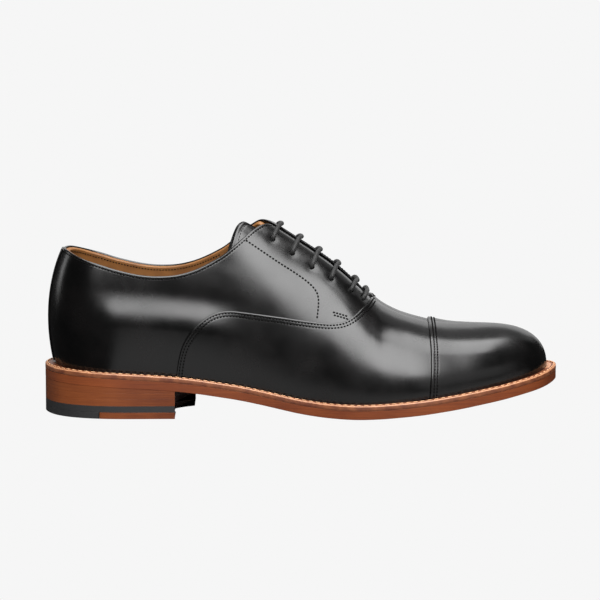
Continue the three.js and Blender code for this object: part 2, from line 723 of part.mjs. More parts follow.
function makeHeel() {
  const outline = Array.from({ length: 72 }, (_, i) => planPoint(i / 72, 0.15));
  const breast = [
    [77, -60], [77, -34], [75.4, -22], [75, -12], [76.2, -2], [78.6, 8], [82.4, 19],
    [88, 31], [100, 60], [-40, 60], [-40, -60],
  ].map(([x, y]) => [x * kx, y * ky]);
  const k = heelHeight / 20.2;
  const block = upright(breast, -5, 90);
  const underSole = [[-20 * kx, -9], [130 * kx, -9]];
  for (let u = 130; u >= 0; u -= 10) underSole.push([u * kx, soleUnder(u) - glueGap]);
  underSole.push([-20 * kx, soleUnder(0) - glueGap]);
  const room = block.intersect(across(underSole));
  const lift = (z0, z1) =>
    upright(outline, z0 * k + liftGap, z1 * k - liftGap).intersect(room);
  const split = 33 * kx;
  const rear = split - 0.05;
  const back = upright([[-40, -80 * ky], [rear, -80 * ky], [rear, 80 * ky], [-40, 80 * ky]], -9, 60);
  const bottomLift = upright(outline, 0, 3.8 * k - liftGap).intersect(block);
  add('top_piece_rubber', bottomLift.intersect(back), rubberBlack);
  const fore = split + 0.05;
  const front = upright([[fore, -80 * ky], [400, -80 * ky], [400, 80 * ky], [fore, 80 * ky]], -9, 60);
  add('top_piece_leather', bottomLift.intersect(front), soleBrown);
  add('rubber_slip', lift(3.8, 7.5), rubberBlack);
  add('heel_lift_lower', nailed(lift(7.5, 11.7)), soleBrown);
  add('heel_lift_upper', nailed(lift(11.7, 15.3)), soleBrown);
  const seat = lift(15.3, 40);
  add('heel_seat_wedge', nailed(seat), soleBrown);
  nailSpots.forEach(([x, y], i) => {
    const z0 = 7.5 * k + 0.3;
    const z1 = soleUnder(x) + outsoleThick * 0.6;
    const r = nailRadius;
    const profile = [[0, z0], [r * 0.35, z0], [r, z0 + 2], [r, z1 - 0.3], [r * 0.7, z1], [0, z1]];
    const g = new THREE.LatheGeometry(profile.map((p) => new THREE.Vector2(...p)), 8);
    g.rotateX(Math.PI / 2);
    g.translate(x * kx, y * ky, 0);
    add(`heel_nail_${i + 1}`, solidOf(g), brass);
  });
}

makeToe();
makeVamp();
makeQuarters();
makeBackStrip();
makeTongue();
makeStays();
makeCounter();
makeEyelets();
makeLace();
makeWelt();
makeSole();
makeShank();
makeHeel();

// The origin: the middle of the shoe's outer box, on the ground.
const box = new THREE.Box3().setFromObject(group);
const middle = box.getCenter(new THREE.Vector3());
for (const mesh of group.children) mesh.geometry.translate(-middle.x, -middle.y, -box.min.z);

export default group;
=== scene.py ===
import bmesh
import bpy
import math
import numpy as np
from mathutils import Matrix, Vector


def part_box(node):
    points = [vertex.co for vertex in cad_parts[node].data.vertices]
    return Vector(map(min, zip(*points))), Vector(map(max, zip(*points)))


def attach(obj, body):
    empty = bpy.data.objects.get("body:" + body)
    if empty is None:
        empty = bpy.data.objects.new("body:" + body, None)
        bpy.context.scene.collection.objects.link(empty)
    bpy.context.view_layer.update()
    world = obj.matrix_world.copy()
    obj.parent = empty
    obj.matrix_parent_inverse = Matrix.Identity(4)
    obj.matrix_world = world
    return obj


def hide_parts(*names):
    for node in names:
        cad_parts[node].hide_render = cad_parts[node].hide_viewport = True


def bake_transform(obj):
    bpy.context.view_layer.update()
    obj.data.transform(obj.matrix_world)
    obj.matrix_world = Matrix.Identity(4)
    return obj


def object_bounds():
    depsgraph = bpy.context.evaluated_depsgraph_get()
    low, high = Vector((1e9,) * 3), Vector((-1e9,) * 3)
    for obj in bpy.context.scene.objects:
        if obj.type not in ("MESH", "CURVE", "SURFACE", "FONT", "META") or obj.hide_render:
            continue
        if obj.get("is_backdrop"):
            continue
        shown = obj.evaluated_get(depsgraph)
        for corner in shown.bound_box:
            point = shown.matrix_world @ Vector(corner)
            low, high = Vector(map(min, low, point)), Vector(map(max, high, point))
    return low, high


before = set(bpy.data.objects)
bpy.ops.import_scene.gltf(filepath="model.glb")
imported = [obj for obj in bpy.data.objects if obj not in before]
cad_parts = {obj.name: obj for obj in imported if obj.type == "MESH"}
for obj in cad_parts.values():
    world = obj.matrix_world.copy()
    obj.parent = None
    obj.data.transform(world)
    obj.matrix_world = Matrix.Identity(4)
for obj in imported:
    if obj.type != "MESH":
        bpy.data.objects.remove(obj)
cad_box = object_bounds()

# ---- sizes, in mm
# The shoe is drawn at its nominal size: u from the back of the heel to the toe,
# v to the inner side, w above the ground. MM and SHIFT take that to the frame.
MM = 0.001
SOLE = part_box("outsole")
STRETCH = (SOLE[1][0] - SOLE[0][0]) / 0.2996
SHIFT = np.array([SOLE[0][0] - 0.0001, (SOLE[0][1] + SOLE[1][1]) / 2 - 0.0001, 0.0])
OUTSOLE, WELT, INSOLE = 5.0, 3.2, 2.8
EDGE = OUTSOLE + WELT
LEATHER = 1.4
LACE_R = 1.3
UNDERLAP = 6.5
TOP_WAIST = 3.5
HOLE_R = 1.85
VAMP_LEVEL, CAP_LEVEL = 1.4, 2.7
BAR_LEVEL = 1.55
SEAM_STITCH = (1.85, 1.3, 0.9, 0.65)
VAMP_ROWS, CAP_ROWS = (1.5, 3.2), (2.0, 3.7)
INNER_RUN = -6.6
TONGUE_TOP = -8.6


def through(points):
    """A smooth line through (x, value) points, read at any x."""
    xs = np.array([p[0] for p in points], float)
    ys = np.array([p[1] for p in points], float)
    m = np.empty_like(ys)
    m[1:-1] = (ys[2:] - ys[:-2]) / (xs[2:] - xs[:-2])
    m[0] = (ys[1] - ys[0]) / (xs[1] - xs[0])
    m[-1] = (ys[-1] - ys[-2]) / (xs[-1] - xs[-2])

    def read(x):
        x = np.asarray(x, float)
        i = np.clip(np.searchsorted(xs, x) - 1, 0, len(xs) - 2)
        w = xs[i + 1] - xs[i]
        t = (x - xs[i]) / w
        low, high = t < 0, t > 1
        c = np.clip(t, 0, 1)
        c2, c3 = c * c, c * c * c
        out = (ys[i] * (2 * c3 - 3 * c2 + 1) + ys[i + 1] * (3 * c2 - 2 * c3)
               + w * m[i] * (c3 - 2 * c2 + c) + w * m[i + 1] * (c3 - c2))
        return out + np.where(low, t * w * m[i], 0) + np.where(high, (t - 1) * w * m[i + 1], 0)

    return read


def ramp(x, a, b):
    t = np.clip((np.asarray(x, float) - a) / (b - a), 0, 1)
    return t * t * (3 - 2 * t)


def mix(a, b, t):
    return a + (b - a) * t


def run_of(points):
    """Distance along a line of points, from its first."""
    return np.r_[0, np.cumsum(np.linalg.norm(np.diff(points, axis=0), axis=1))]


def read_at(want, run, points):
    """The points of a line at wanted distances along it."""
    return np.stack([np.interp(want, run, points[:, k]) for k in range(points.shape[1])], -1)


def floats(*values):
    return np.broadcast_arrays(*(np.asarray(v, float) for v in values))


def unit(v):
    return v / np.linalg.norm(v, axis=-1, keepdims=True)


# ---- side-view lines
sole_under = through([
    (0, 20.2), (25, 19.2), (50, 18), (77, 16.2), (90, 14.7), (102, 12.9), (114, 11.1),
    (126, 8.9), (138, 6.5), (149, 4.4), (161, 2.9), (173, 2.25), (184, 2.2), (196, 2.8),
    (208, 3.8), (220, 4.9), (231, 6.2), (243, 7.8), (255, 9.7), (267, 11.6), (278, 13.6),
    (290, 15.9), (300, 18.2)])
crown_line = through([
    (20, 128), (60, 129.5), (80, 129.5), (100, 127), (115, 121.8), (131, 112.9),
    (144.3, 104.2), (154.8, 97.1), (165.3, 89.6), (174.2, 82.3), (181.7, 75.1),
    (188, 68.3), (193.5, 62.9), (199.6, 58.8), (207, 55.2), (219.7, 51.2), (231.4, 48.4),
    (243, 47.5), (254.8, 47.4), (266, 47)])
TOPLINE = [
    (15, 95.4), (30, 90.3), (43.6, 86.1), (57, 83.2), (68.3, 82.4), (80.6, 83.6),
    (91.8, 87.3), (103, 93.2), (109.8, 98.3)]
CORNER = {-1: [(116.6, 104), (122.6, 108.4), (128, 110.9)],
          1: [(116.3, 104.2), (122.2, 109.2), (127.4, 111.8)]}
VAMP_SEAM = [
    (78.4, 31), (80.6, 40.6), (84, 47.6), (89.6, 54.4), (97.4, 60), (106.4, 62.2),
    (117.6, 61.6), (131, 60), (142.2, 58.5), (152, 57.1), (161.1, 56.1),
    (168.5, 55.8), (175.5, 56.8), (181.3, 60), (185.6, 63.4), (188.2, 64.8)]
THROAT = 191.2
FACING_STITCH = [
    (117.6, 102.6), (134.9, 91.1), (147.9, 82.8), (155.2, 77.4), (159, 73),
    (160.1, 68.6), (159.8, 63), (159.2, 58.2)]
CAP_SEAM = [(14, 224), (22, 224.5), (30, 224.9), (38, 224.9), (46, 224.4), (52, 224)]
EYELETS = [(133.5, 102.7), (144.9, 94.7), (156.2, 86.8), (167.5, 80.2), (179.1, 73.2),
           (186.4, 68)]
BAR_LEAN = [4.6, 4.8, 4.6, 4.0, 3.0, 1.4]

# Stations round the outline: u, v, the welt's reach past the last, where the rib ends
# on the crown, and the rib's rise, width and bulge.
STATIONS = np.array([
    (0, 0, 6.6, 62, 0.45, 0.9, 12.5), (9.5, -22.5, 5.4, 63, 0.45, 0.88, 9.5),
    (34, -33.5, 4.6, 68, 0.45, 0.84, 7), (75, -34, 4.8, 86, 0.42, 0.84, 5),
    (112, -34.4, 5.2, 118, 0.42, 0.74, 3), (150, -41, 5.8, 150, 0.4, 0.62, 1.5),
    (183, -49, 6.8, 180, 0.42, 0.66, 1.5), (213, -50.2, 7.4, 206, 0.5, 0.72, 2),
    (243, -44.2, 8.3, 231, 0.58, 0.75, 2.2), (270, -34.2, 8.5, 248, 0.62, 0.74, 2.4),
    (291, -19, 8.5, 257, 0.64, 0.72, 2.5), (299.8, 3.5, 8.6, 260, 0.65, 0.7, 2.5),
    (294.5, 22.5, 8.5, 257, 0.64, 0.72, 2.5), (275, 37.5, 8.5, 248, 0.62, 0.74, 2.4),
    (247, 47, 8.3, 231, 0.58, 0.75, 2.2), (215, 50.8, 7.4, 206, 0.5, 0.72, 2),
    (183, 45, 6.8, 180, 0.42, 0.66, 1.5), (150, 34, 5.8, 150, 0.4, 0.62, 2),
    (112, 29, 5.2, 118, 0.42, 0.74, 4), (75, 31.5, 4.8, 86, 0.42, 0.84, 5.5),
    (34, 32.5, 4.6, 68, 0.45, 0.84, 7), (9.5, 22, 5.4, 63, 0.45, 0.88, 9.5)], float)


def station(T):
    """The station rows at T, 0 to 1 round the closed loop; shape (..., 7)."""
    n = len(STATIONS)
    s = np.mod(np.asarray(T, float), 1.0) * n
    i = np.floor(s).astype(int)
    t = (s - i)[..., None]
    a, b, c, d = (STATIONS[(i + k) % n] for k in (-1, 0, 1, 2))
    m0, m1 = (c - a) / 2, (d - b) / 2
    t2, t3 = t * t, t * t * t
    return (b * (2 * t3 - 3 * t2 + 1) + c * (3 * t2 - 2 * t3)
            + m0 * (t3 - 2 * t2 + t) + m1 * (t3 - t2))


def plan(T, inset):
    """The outline moved in by a distance: u and v."""
    T = np.asarray(T, float)
    p = station(T)[..., :2]
    d = station(T + 0.004)[..., :2] - station(T - 0.004)[..., :2]
    d = unit(d)
    inset = np.asarray(inset, float)[..., None]
    return p + np.stack([-d[..., 1], d[..., 0]], -1) * inset


def welt_top(u):
    return sole_under(u) + EDGE


def outsole_top(u):
    return sole_under(u) + OUTSOLE


def crown_v(u):
    return 5 * ramp(u, 70, 250)


def last(T, h):
    """Points on the last: h = 0 beside the welt, h = 1 on the crown."""
    T, h = floats(T, h)
    s = station(T)
    f = plan(T, s[..., 2])
    out = plan(T, s[..., 2] - 1) - f
    skirt = plan(T, s[..., 2] - 3)[..., 0]
    fz = welt_top(np.maximum(f[..., 0], skirt)) - WELT + 0.35
    cx = s[..., 3]
    cy, cz = crown_v(cx), crown_line(cx)
    p0 = np.stack([f[..., 0], f[..., 1], fz], -1)
    p1 = np.stack([f[..., 0] + out[..., 0] * s[..., 6], f[..., 1] + out[..., 1] * s[..., 6],
                   mix(fz, cz, s[..., 4])], -1)
    p2 = np.stack([mix(cx, f[..., 0], s[..., 5]), mix(cy, f[..., 1], s[..., 5]), cz], -1)
    p3 = np.stack([cx, cy, cz], -1)
    k = h[..., None]
    p = (1 - k) ** 3 * p0 + 3 * (1 - k) ** 2 * k * p1 + 3 * (1 - k) * k * k * p2 + k ** 3 * p3
    # the quarters lean in under the topline, from the heel to the instep
    x, rise = p[..., 0], p[..., 2] - welt_top(p[..., 0])
    along = ramp(x, 20, 45) * (1 - ramp(x, 92, 132)) * (1 - ramp(h, 0.5, 0.8))
    p[..., 1] += TOP_WAIST * ramp(rise, 27, 49) * along * np.where(np.mod(T, 1.0) < 0.5, 1, -1)
    return p


def last_normal(T, h):
    T, h = floats(T, h)
    e = 0.002
    dT = last(T + e, h) - last(T - e, h)
    dh = last(T, np.minimum(1, h + e)) - last(T, np.maximum(0, h - e))
    n = np.cross(dT, dh)
    u = station(T)[..., 3]
    slope = (crown_line(u + 1) - crown_line(u - 1)) / 2
    top = np.stack([-slope, np.zeros_like(u), np.ones_like(u)], -1)
    top = unit(top)
    n[..., 2] = np.where(h < 0.001, 0, n[..., 2])
    n /= np.maximum(np.linalg.norm(n, axis=-1, keepdims=True), 1e-12)
    k = ramp(h, 0.985, 0.9995)[..., None]
    n = n * (1 - k) + top * k
    return unit(n)


def on_last(T, h, level):
    T, h, level = floats(T, h, level)
    return last(T, h) + last_normal(T, h) * level[..., None]


def find(points, side):
    """(T, h) of side-view points on one side of the last."""
    pts = np.array(points, float)
    T = np.full(len(pts), 0.25)
    h = np.full(len(pts), 0.6)
    flip = (lambda t: t) if side < 0 else (lambda t: 1 - t)
    e = 0.0005
    for _ in range(60):
        p = last(flip(T), h)
        a = (last(flip(T + e), h) - p) / e
        b = (last(flip(T), h + e) - p) / e
        rx, rz = pts[:, 0] - p[:, 0], pts[:, 1] - p[:, 2]
        det = a[:, 0] * b[:, 2] - b[:, 0] * a[:, 2]
        det = np.where(np.abs(det) < 1e-6, 1e-6, det)
        T = T + np.clip((b[:, 2] * rx - b[:, 0] * rz) / det, -0.04, 0.04)
        h = np.clip(h + np.clip((a[:, 0] * rz - a[:, 2] * rx) / det, -0.08, 0.08), 0.0, 0.99)
        T = np.clip(T, 0.0, 0.5)
    return np.stack([flip(T), h], -1)


_T = np.linspace(0, 0.5, 2000)
_U = station(_T)[:, 3]


def crown_T(u, side):
    t = np.interp(u, _U, _T)
    return t if side < 0 else 1 - t


def welt_T(u, side):
    q = _T if side < 0 else 1 - _T
    x = plan(q, station(q)[:, 2])[:, 0]
    t = np.interp(u, x, _T)
    return t if side < 0 else 1 - t


def facing_h(T, gap):
    """How far up a rib the facing's edge is, half a gap from the crown."""
    s = station(T)
    f = plan(T, s[..., 2])
    wide = np.hypot(s[..., 3] - f[..., 0], crown_v(s[..., 3]) - f[..., 1]) * s[..., 5]
    return 1 - (gap / 2) / (3 * wide)


def across(seam_u, side, count=60):
    """A seam from welt to crown, given where it lies along the shoe at each height."""
    where = through(seam_u)
    h = np.linspace(0, 1, count)
    T = np.full(count, float(welt_T(where(25), side)))
    for _ in range(40):
        p = last(T, h)
        slope = (last(T + 0.0005, h)[:, 0] - p[:, 0]) / 0.0005
        T = T + np.clip((where(p[:, 2]) - p[:, 0]) / slope, -0.02, 0.02)
    return list(zip(T, h))


def smooth(points, count):
    """A line of (T, h) points drawn out smoothly and evenly along its real length."""
    p = np.array(points, float)
    knots = run_of(last(*p.T))
    fine = np.linspace(0, knots[-1], 1200)
    q = np.stack([through(list(zip(knots, p[:, k])))(fine) for k in (0, 1)], -1)
    run = run_of(last(*q.T))
    want = np.linspace(0, run[-1], count)
    return read_at(want, run, q)


# ---- meshes
def to_frame(points):
    p = np.asarray(points, float) * MM
    p = p * [STRETCH, 1, 1]
    return p + SHIFT


def add(name, data):
    obj = bpy.data.objects.new(name, data)
    bpy.context.collection.objects.link(obj)
    return obj


def mesh_of(name, points, faces):
    mesh = bpy.data.meshes.new(name)
    mesh.from_pydata([tuple(p) for p in points], [], faces)
    return mesh


def make(name, points, faces, material, slot, uv=None):
    mesh = mesh_of(name, to_frame(points), faces)
    mesh.validate()
    if uv is not None:
        layer = mesh.uv_layers.new(name="along")
        loops = np.zeros(len(mesh.loops), int)
        mesh.loops.foreach_get("vertex_index", loops)
        layer.data.foreach_set("uv", np.asarray(uv, np.float32)[loops].ravel())
    mesh.polygons.foreach_set("use_smooth", [True] * len(mesh.polygons))
    mesh.update()
    obj = add(name, mesh)
    mesh.materials.append(material)
    return obj


def crease(obj, degrees):
    """Edges sharper than this stay crisp."""
    obj.data.set_sharp_from_angle(angle=math.radians(degrees))


def inlay(obj, material, belongs):
    """A second material on the faces whose centre, in mm, and normal pass a test."""
    obj.data.materials.append(material)
    chosen = [int(belongs((np.array(f.center) - SHIFT) / MM, f.normal)) for f in obj.data.polygons]
    obj.data.polygons.foreach_set("material_index", chosen)


def place(obj, body, *cad_nodes):
    """Rides on one body and stands for the CAD nodes named."""
    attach(obj, body)
    if cad_nodes:
        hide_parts(*cad_nodes)


def sheet_faces(rows, cols, base=0, flip=False, wrap=False):
    faces = []
    for i in range(rows - (0 if wrap else 1)):
        k = (i + 1) % rows
        for j in range(cols - 1):
            f = (base + i * cols + j, base + k * cols + j, base + k * cols + j + 1, base + i * cols + j + 1)
            faces.append(f[::-1] if flip else f)
    return faces


def ring_faces(rings, count, closed=False):
    """Quads between rings of points; closed joins the last ring to the first."""
    faces = []
    for a in range(rings if closed else rings - 1):
        for i in range(count):
            k = (i + 1) % count
            faces.append((a * count + i, a * count + k, (a + 1) * count + k, (a + 1) * count + i))
    return faces


def near(points, line):
    """Each point's distance to a line of points."""
    p = points.reshape(-1, 3)
    best = np.full(len(p), 1e9)
    a, b = line[:-1], line[1:]
    ab = b - a
    ll = np.maximum((ab ** 2).sum(1), 1e-9)
    for k in range(0, len(p), 4000):
        q = p[k:k + 4000][:, None, :]
        t = np.clip(((q - a) * ab).sum(2) / ll, 0, 1)
        d = np.linalg.norm(q - (a + ab * t[..., None]), axis=2)
        best[k:k + 4000] = d.min(1)
    return best.reshape(points.shape[:-1])


class Patch:
    """A piece of leather ruled between two lines on the last, with its worked edge on
    the second line; it knows each point's distance from that edge."""

    def __init__(self, low, high, across, edge_rows=(0, 0.1, 0.25, 0.45, 0.7, 1.0, 1.35, 1.7,
                                                     2.05, 2.4, 2.75, 3.1, 3.5, 4.0, 4.8)):
        a, b = last(*high.T), last(*low.T)
        length = np.maximum(np.linalg.norm(a - b, axis=1), 0.5)
        t_edge = 1 - np.array(edge_rows)[None, :] / length[:, None]
        least = 0.35
        t_edge = np.where(t_edge < least, 0, t_edge)
        squeeze = 1 - (np.array(edge_rows) / edge_rows[-1])[None, :] * (1 - least)
        t_edge = np.maximum(t_edge, squeeze)
        t_rest = np.linspace(0, 1, across)[:-1][None, :] * t_edge[:, -1:]
        self.t = np.concatenate([t_rest, t_edge[:, ::-1]], 1)
        self.T = mix(low[:, :1], high[:, :1], self.t)
        self.h = mix(low[:, 1:], high[:, 1:], self.t)
        self.base = last(self.T, self.h)
        self.normal = last_normal(self.T, self.h)
        self.edge = near(self.base, a)

    def row(self, distance, trim=(0, 0)):
        """The line on the patch at a distance from its worked edge, as (T, h)."""
        out = []
        for T, h, d in zip(self.T, self.h, self.edge):
            d, T, h = d[::-1], T[::-1], h[::-1]
            d = np.maximum.accumulate(d)
            if d[-1] < distance:
                continue
            out.append((np.interp(distance, d, T), np.interp(distance, d, h)))
        out = np.array(out)
        for _ in range(12):
            out[1:-1] = out[1:-1] * 0.5 + (out[:-2] + out[2:]) * 0.25
        run = run_of(last(*out.T))
        keep = (run >= trim[0]) & (run <= run[-1] - trim[1])
        return out[keep]

    def surface(self, outer, inner, round_over=0.7, dents=(), extra=None, sink=0.0):
        """Outer and inner grids of points; the worked edge is rounded and each stitch
        line pressed in: dents are (distance from edge, depth, half width)."""
        half = (outer - inner) / 2
        mid = (outer + inner) / 2
        r = round_over
        q = np.clip(self.edge / r, 0, 1)
        full = np.sqrt(np.maximum(1 - (1 - q) ** 2, 0))
        top = mid + half * full
        low = mid - half * full
        for d, depth, wide in dents:
            top = top - depth * np.exp(-((self.edge - d) / wide) ** 2)
        if extra is not None:
            top = top + extra(self)
        top, low = top + sink, low + sink
        return self.base + self.normal * top[..., None], self.base + self.normal * low[..., None]


def closed_sheet(outer, inner):
    """Vertices and faces of a thick sheet from two grids, its sides closed."""
    n, m, _ = outer.shape
    points = np.concatenate([outer.reshape(-1, 3), inner.reshape(-1, 3)])
    faces = sheet_faces(n, m) + sheet_faces(n, m, n * m, True)
    o = n * m
    for i in range(n - 1):
        faces.append((i * m, o + i * m, o + (i + 1) * m, (i + 1) * m))
        faces.append(((i + 1) * m + m - 1, o + (i + 1) * m + m - 1, o + i * m + m - 1, i * m + m - 1))
    for j in range(m - 1):
        faces.append((j + 1, o + j + 1, o + j, j))
        b = (n - 1) * m
        faces.append((b + j, o + b + j, o + b + j + 1, b + j + 1))
    return points, faces


def join(parts):
    """Several (points, faces) as one."""
    points, faces, base = [], [], 0
    for p, f in parts:
        points.append(p)
        faces += [tuple(base + v for v in face) for face in f]
        base += len(p)
    return np.concatenate(points), faces


def weld(obj, distance=0.02):
    bm = bmesh.new()
    bm.from_mesh(obj.data)
    bmesh.ops.remove_doubles(bm, verts=bm.verts, dist=distance * MM)
    bmesh.ops.dissolve_degenerate(bm, dist=1e-7, edges=bm.edges)
    bmesh.ops.recalc_face_normals(bm, faces=bm.faces)
    bm.to_mesh(obj.data)
    bm.free()
    return obj


def turned(points, faces, mirror):
    """Reverses the faces on the inner side, where T runs the other way."""
    return points, [f[::-1] for f in faces] if mirror else faces


# ---- stitches
def bead(rings=5, around=7):
    """One stitch: a rounded bead, unit long and wide, lying along x."""
    pts, faces = [(-0.5, 0, 0)], []
    for i in range(rings):
        a = math.pi * (i + 1) / (rings + 1)
        x, r = -0.5 * math.cos(a), 0.5 * math.sin(a) ** 0.6
        for k in range(around):
            b = 2 * math.pi * k / around
            pts.append((x, r * math.cos(b), r * math.sin(b)))
    pts.append((0.5, 0, 0))
    end = len(pts) - 1
    for k in range(around):
        m = (k + 1) % around
        faces.append((0, 1 + m, 1 + k))
        for i in range(rings - 1):
            a = 1 + i * around
            faces.append((a + k, a + m, a + around + m, a + around + k))
        a = 1 + (rings - 1) * around
        faces.append((a + k, a + m, end))
    return np.array(pts), faces


BEAD = bead()


def beads(centres, along, up, length, width, height):
    """A row of stitches as one set of points and faces."""
    along = unit(along)
    up = unit(up - along * (up * along).sum(1, keepdims=True))
    side = np.cross(up, along)
    shape = BEAD[0] * [length, width, height]
    pts = (centres[:, None, :] + along[:, None, :] * shape[None, :, :1]
           + side[:, None, :] * shape[None, :, 1:2] + up[:, None, :] * shape[None, :, 2:])
    n = len(BEAD[0])
    faces = [tuple(k * n + v for v in f) for k in range(len(centres)) for f in BEAD[1]]
    return pts.reshape(-1, 3), faces


def stitch_row(line, level, pitch, length, width, height, side=1):
    """Stitches along a (T, h) line, standing at a level."""
    line = np.asarray(line)
    level = level + settle(side, *line.T)
    p = on_last(*line.T, level)
    run = run_of(p)
    count = max(2, int(run[-1] / pitch))
    at = (np.arange(count) + 0.5) * run[-1] / count
    T, h = read_at(at, run, line).T
    e = 0.3
    ahead = read_at(at + e, run, p) - read_at(at - e, run, p)
    centres = on_last(T, h, np.interp(at, run, level))
    return beads(centres, ahead, last_normal(T, h), length, width, height)


# ---- materials
def linear(code):
    """An sRGB hex colour as linear RGBA."""
    rgb = [int(code[k:k + 2], 16) / 255 for k in (1, 3, 5)]
    return [c / 12.92 if c <= 0.04045 else ((c + 0.055) / 1.055) ** 2.4 for c in rgb] + [1.0]


def node(tree, kind, links=None, stops=(), **settings):
    """Adds one node: settings by socket or property name, links as socket: output, and
    for a ramp its (position, colour) stops."""
    n = tree.nodes.new(kind)
    for key, value in settings.items():
        if hasattr(n, key):
            setattr(n, key, value)
        else:
            n.inputs[key.replace("_", " ")].default_value = value
    for key, out in (links or {}).items():
        tree.links.new(out, n.inputs[key])
    for k, (position, code) in enumerate(stops):
        n.color_ramp.elements[k].position = position
        n.color_ramp.elements[k].color = linear(code)
    return n


def finish(name, base, rough, **extra):
    """A Principled material and its tree, shader and object-space coordinates in mm."""
    m = bpy.data.materials.new(name)
    m.use_nodes = True
    tree = m.node_tree
    shader = tree.nodes["Principled BSDF"]
    shader.inputs["Base Color"].default_value = linear(base)
    shader.inputs["Roughness"].default_value = rough
    for key, value in extra.items():
        shader.inputs[key.replace("_", " ")].default_value = value
    where = node(tree, "ShaderNodeTexCoord")
    scale = node(tree, "ShaderNodeMapping", {"Vector": where.outputs["Object"]}, Scale=(1000, 1000, 1000))
    return m, tree, shader, scale.outputs["Vector"]


def coloured(made, pattern, out, dark, light, bump=0.0, depth=0.0001, low=0.35, high=0.65):
    """Finishes a material: its colour runs between two shades with a pattern, and the
    same pattern, or the one given, lifts its surface by a depth in metres."""
    m, tree, shader, _ = made
    tint = node(tree, "ShaderNodeValToRGB", {"Fac": out}, stops=((low, dark), (high, light)))
    tree.links.new(tint.outputs["Color"], shader.inputs["Base Color"])
    if bump:
        b = node(tree, "ShaderNodeBump", {"Height": pattern}, Strength=bump, Distance=depth)
        tree.links.new(b.outputs["Normal"], shader.inputs["Normal"])
    return m


def clouded(name, dark, light, rough, scale, detail=4.0, bump=0.2, **extra):
    """Two shades clouded together at a scale per mm."""
    made = finish(name, dark, rough, **extra)
    cloud = node(made[1], "ShaderNodeTexNoise", {"Vector": made[3]}, Scale=scale, Detail=detail)
    return coloured(made, cloud.outputs["Fac"], cloud.outputs["Fac"], dark, light, bump)


def black_calf():
    # Aniline calf, plated and polished black: pores about 0.6 mm apart are almost closed,
    # so the eye gets long soft reflections with a faint broken grain and finger-wide
    # variations in the polish.
    m, tree, shader, mm = finish("black_calf_polished", "#070606", 0.24, IOR=1.5)
    pores = node(tree, "ShaderNodeTexVoronoi", {"Vector": mm}, Scale=1.6, feature="F1")
    creases = node(tree, "ShaderNodeTexNoise", {"Vector": mm}, Scale=0.55, Detail=5.0, Roughness=0.6)
    polish = node(tree, "ShaderNodeTexNoise", {"Vector": mm}, Scale=0.05, Detail=3.0).outputs["Fac"]
    gloss = node(tree, "ShaderNodeMapRange", {"Value": polish}, From_Min=0.3, From_Max=0.7,
                 To_Min=0.2, To_Max=0.29)
    tree.links.new(gloss.outputs["Result"], shader.inputs["Roughness"])
    b1 = node(tree, "ShaderNodeBump", {"Height": pores.outputs["Distance"]}, Strength=0.04, Distance=0.00006)
    b2 = node(tree, "ShaderNodeBump", {"Height": creases.outputs["Fac"], "Normal": b1.outputs["Normal"]},
              Strength=0.05, Distance=0.0001)
    tree.links.new(b2.outputs["Normal"], shader.inputs["Normal"])
    return coloured((m, tree, shader, mm), None, polish, "#050505", "#090808")


def tan_lining():
    # Vegetable tanned calf lining left its own tan: matt, with soft cloudy colour.
    made = finish("tan_lining_leather", "#764b20", 0.6)
    cloud = node(made[1], "ShaderNodeTexNoise", {"Vector": made[3]}, Scale=0.09, Detail=6.0)
    grain = node(made[1], "ShaderNodeTexVoronoi", {"Vector": made[3]}, Scale=1.4)
    return coloured(made, grain.outputs["Distance"], cloud.outputs["Fac"], "#6c431c", "#825629", 0.2)


def sole_leather(name="oak_bark_sole_leather", dark="#5a2812", light="#743917", rough=0.45):
    # Oak bark tanned bends, sanded, stained chestnut and burnished with wax: fine level
    # streaks 0.3 to 1 mm apart run along the cut edge under a soft shine.
    made = finish(name, dark, rough, Coat_Weight=0.06, Coat_Roughness=0.3, Specular_IOR_Level=0.3)
    _, tree, _, mm = made
    lie = node(tree, "ShaderNodeMapping", {"Vector": mm}, Scale=(0.03, 0.03, 1.6)).outputs["Vector"]
    streak = node(tree, "ShaderNodeTexNoise", {"Vector": lie}, Scale=1.0, Detail=4.0, Roughness=0.65)
    streak = streak.outputs["Fac"]
    cloud = node(tree, "ShaderNodeTexNoise", {"Vector": mm}, Scale=0.035, Detail=3.0).outputs["Fac"]
    both = node(tree, "ShaderNodeMath", {0: streak, 1: cloud}, operation="ADD")
    halfway = node(tree, "ShaderNodeMath", {0: both.outputs["Value"]}, operation="MULTIPLY")
    halfway.inputs[1].default_value = 0.5
    return coloured(made, streak, halfway.outputs["Value"], dark, light, 0.25, 0.00012, 0.38, 0.62)


def thread(name, code, rough=0.5, **extra):
    # Plied waxed linen thread: two strands twist about every 0.6 mm.
    m, tree, shader, mm = finish(name, code, rough, **extra)
    wave = node(tree, "ShaderNodeTexWave", {"Vector": mm}, Scale=1.1, Distortion=0.6,
                bands_direction="DIAGONAL")
    b = node(tree, "ShaderNodeBump", {"Height": wave.outputs["Fac"]}, Strength=0.4, Distance=0.0001)
    tree.links.new(b.outputs["Normal"], shader.inputs["Normal"])
    return m


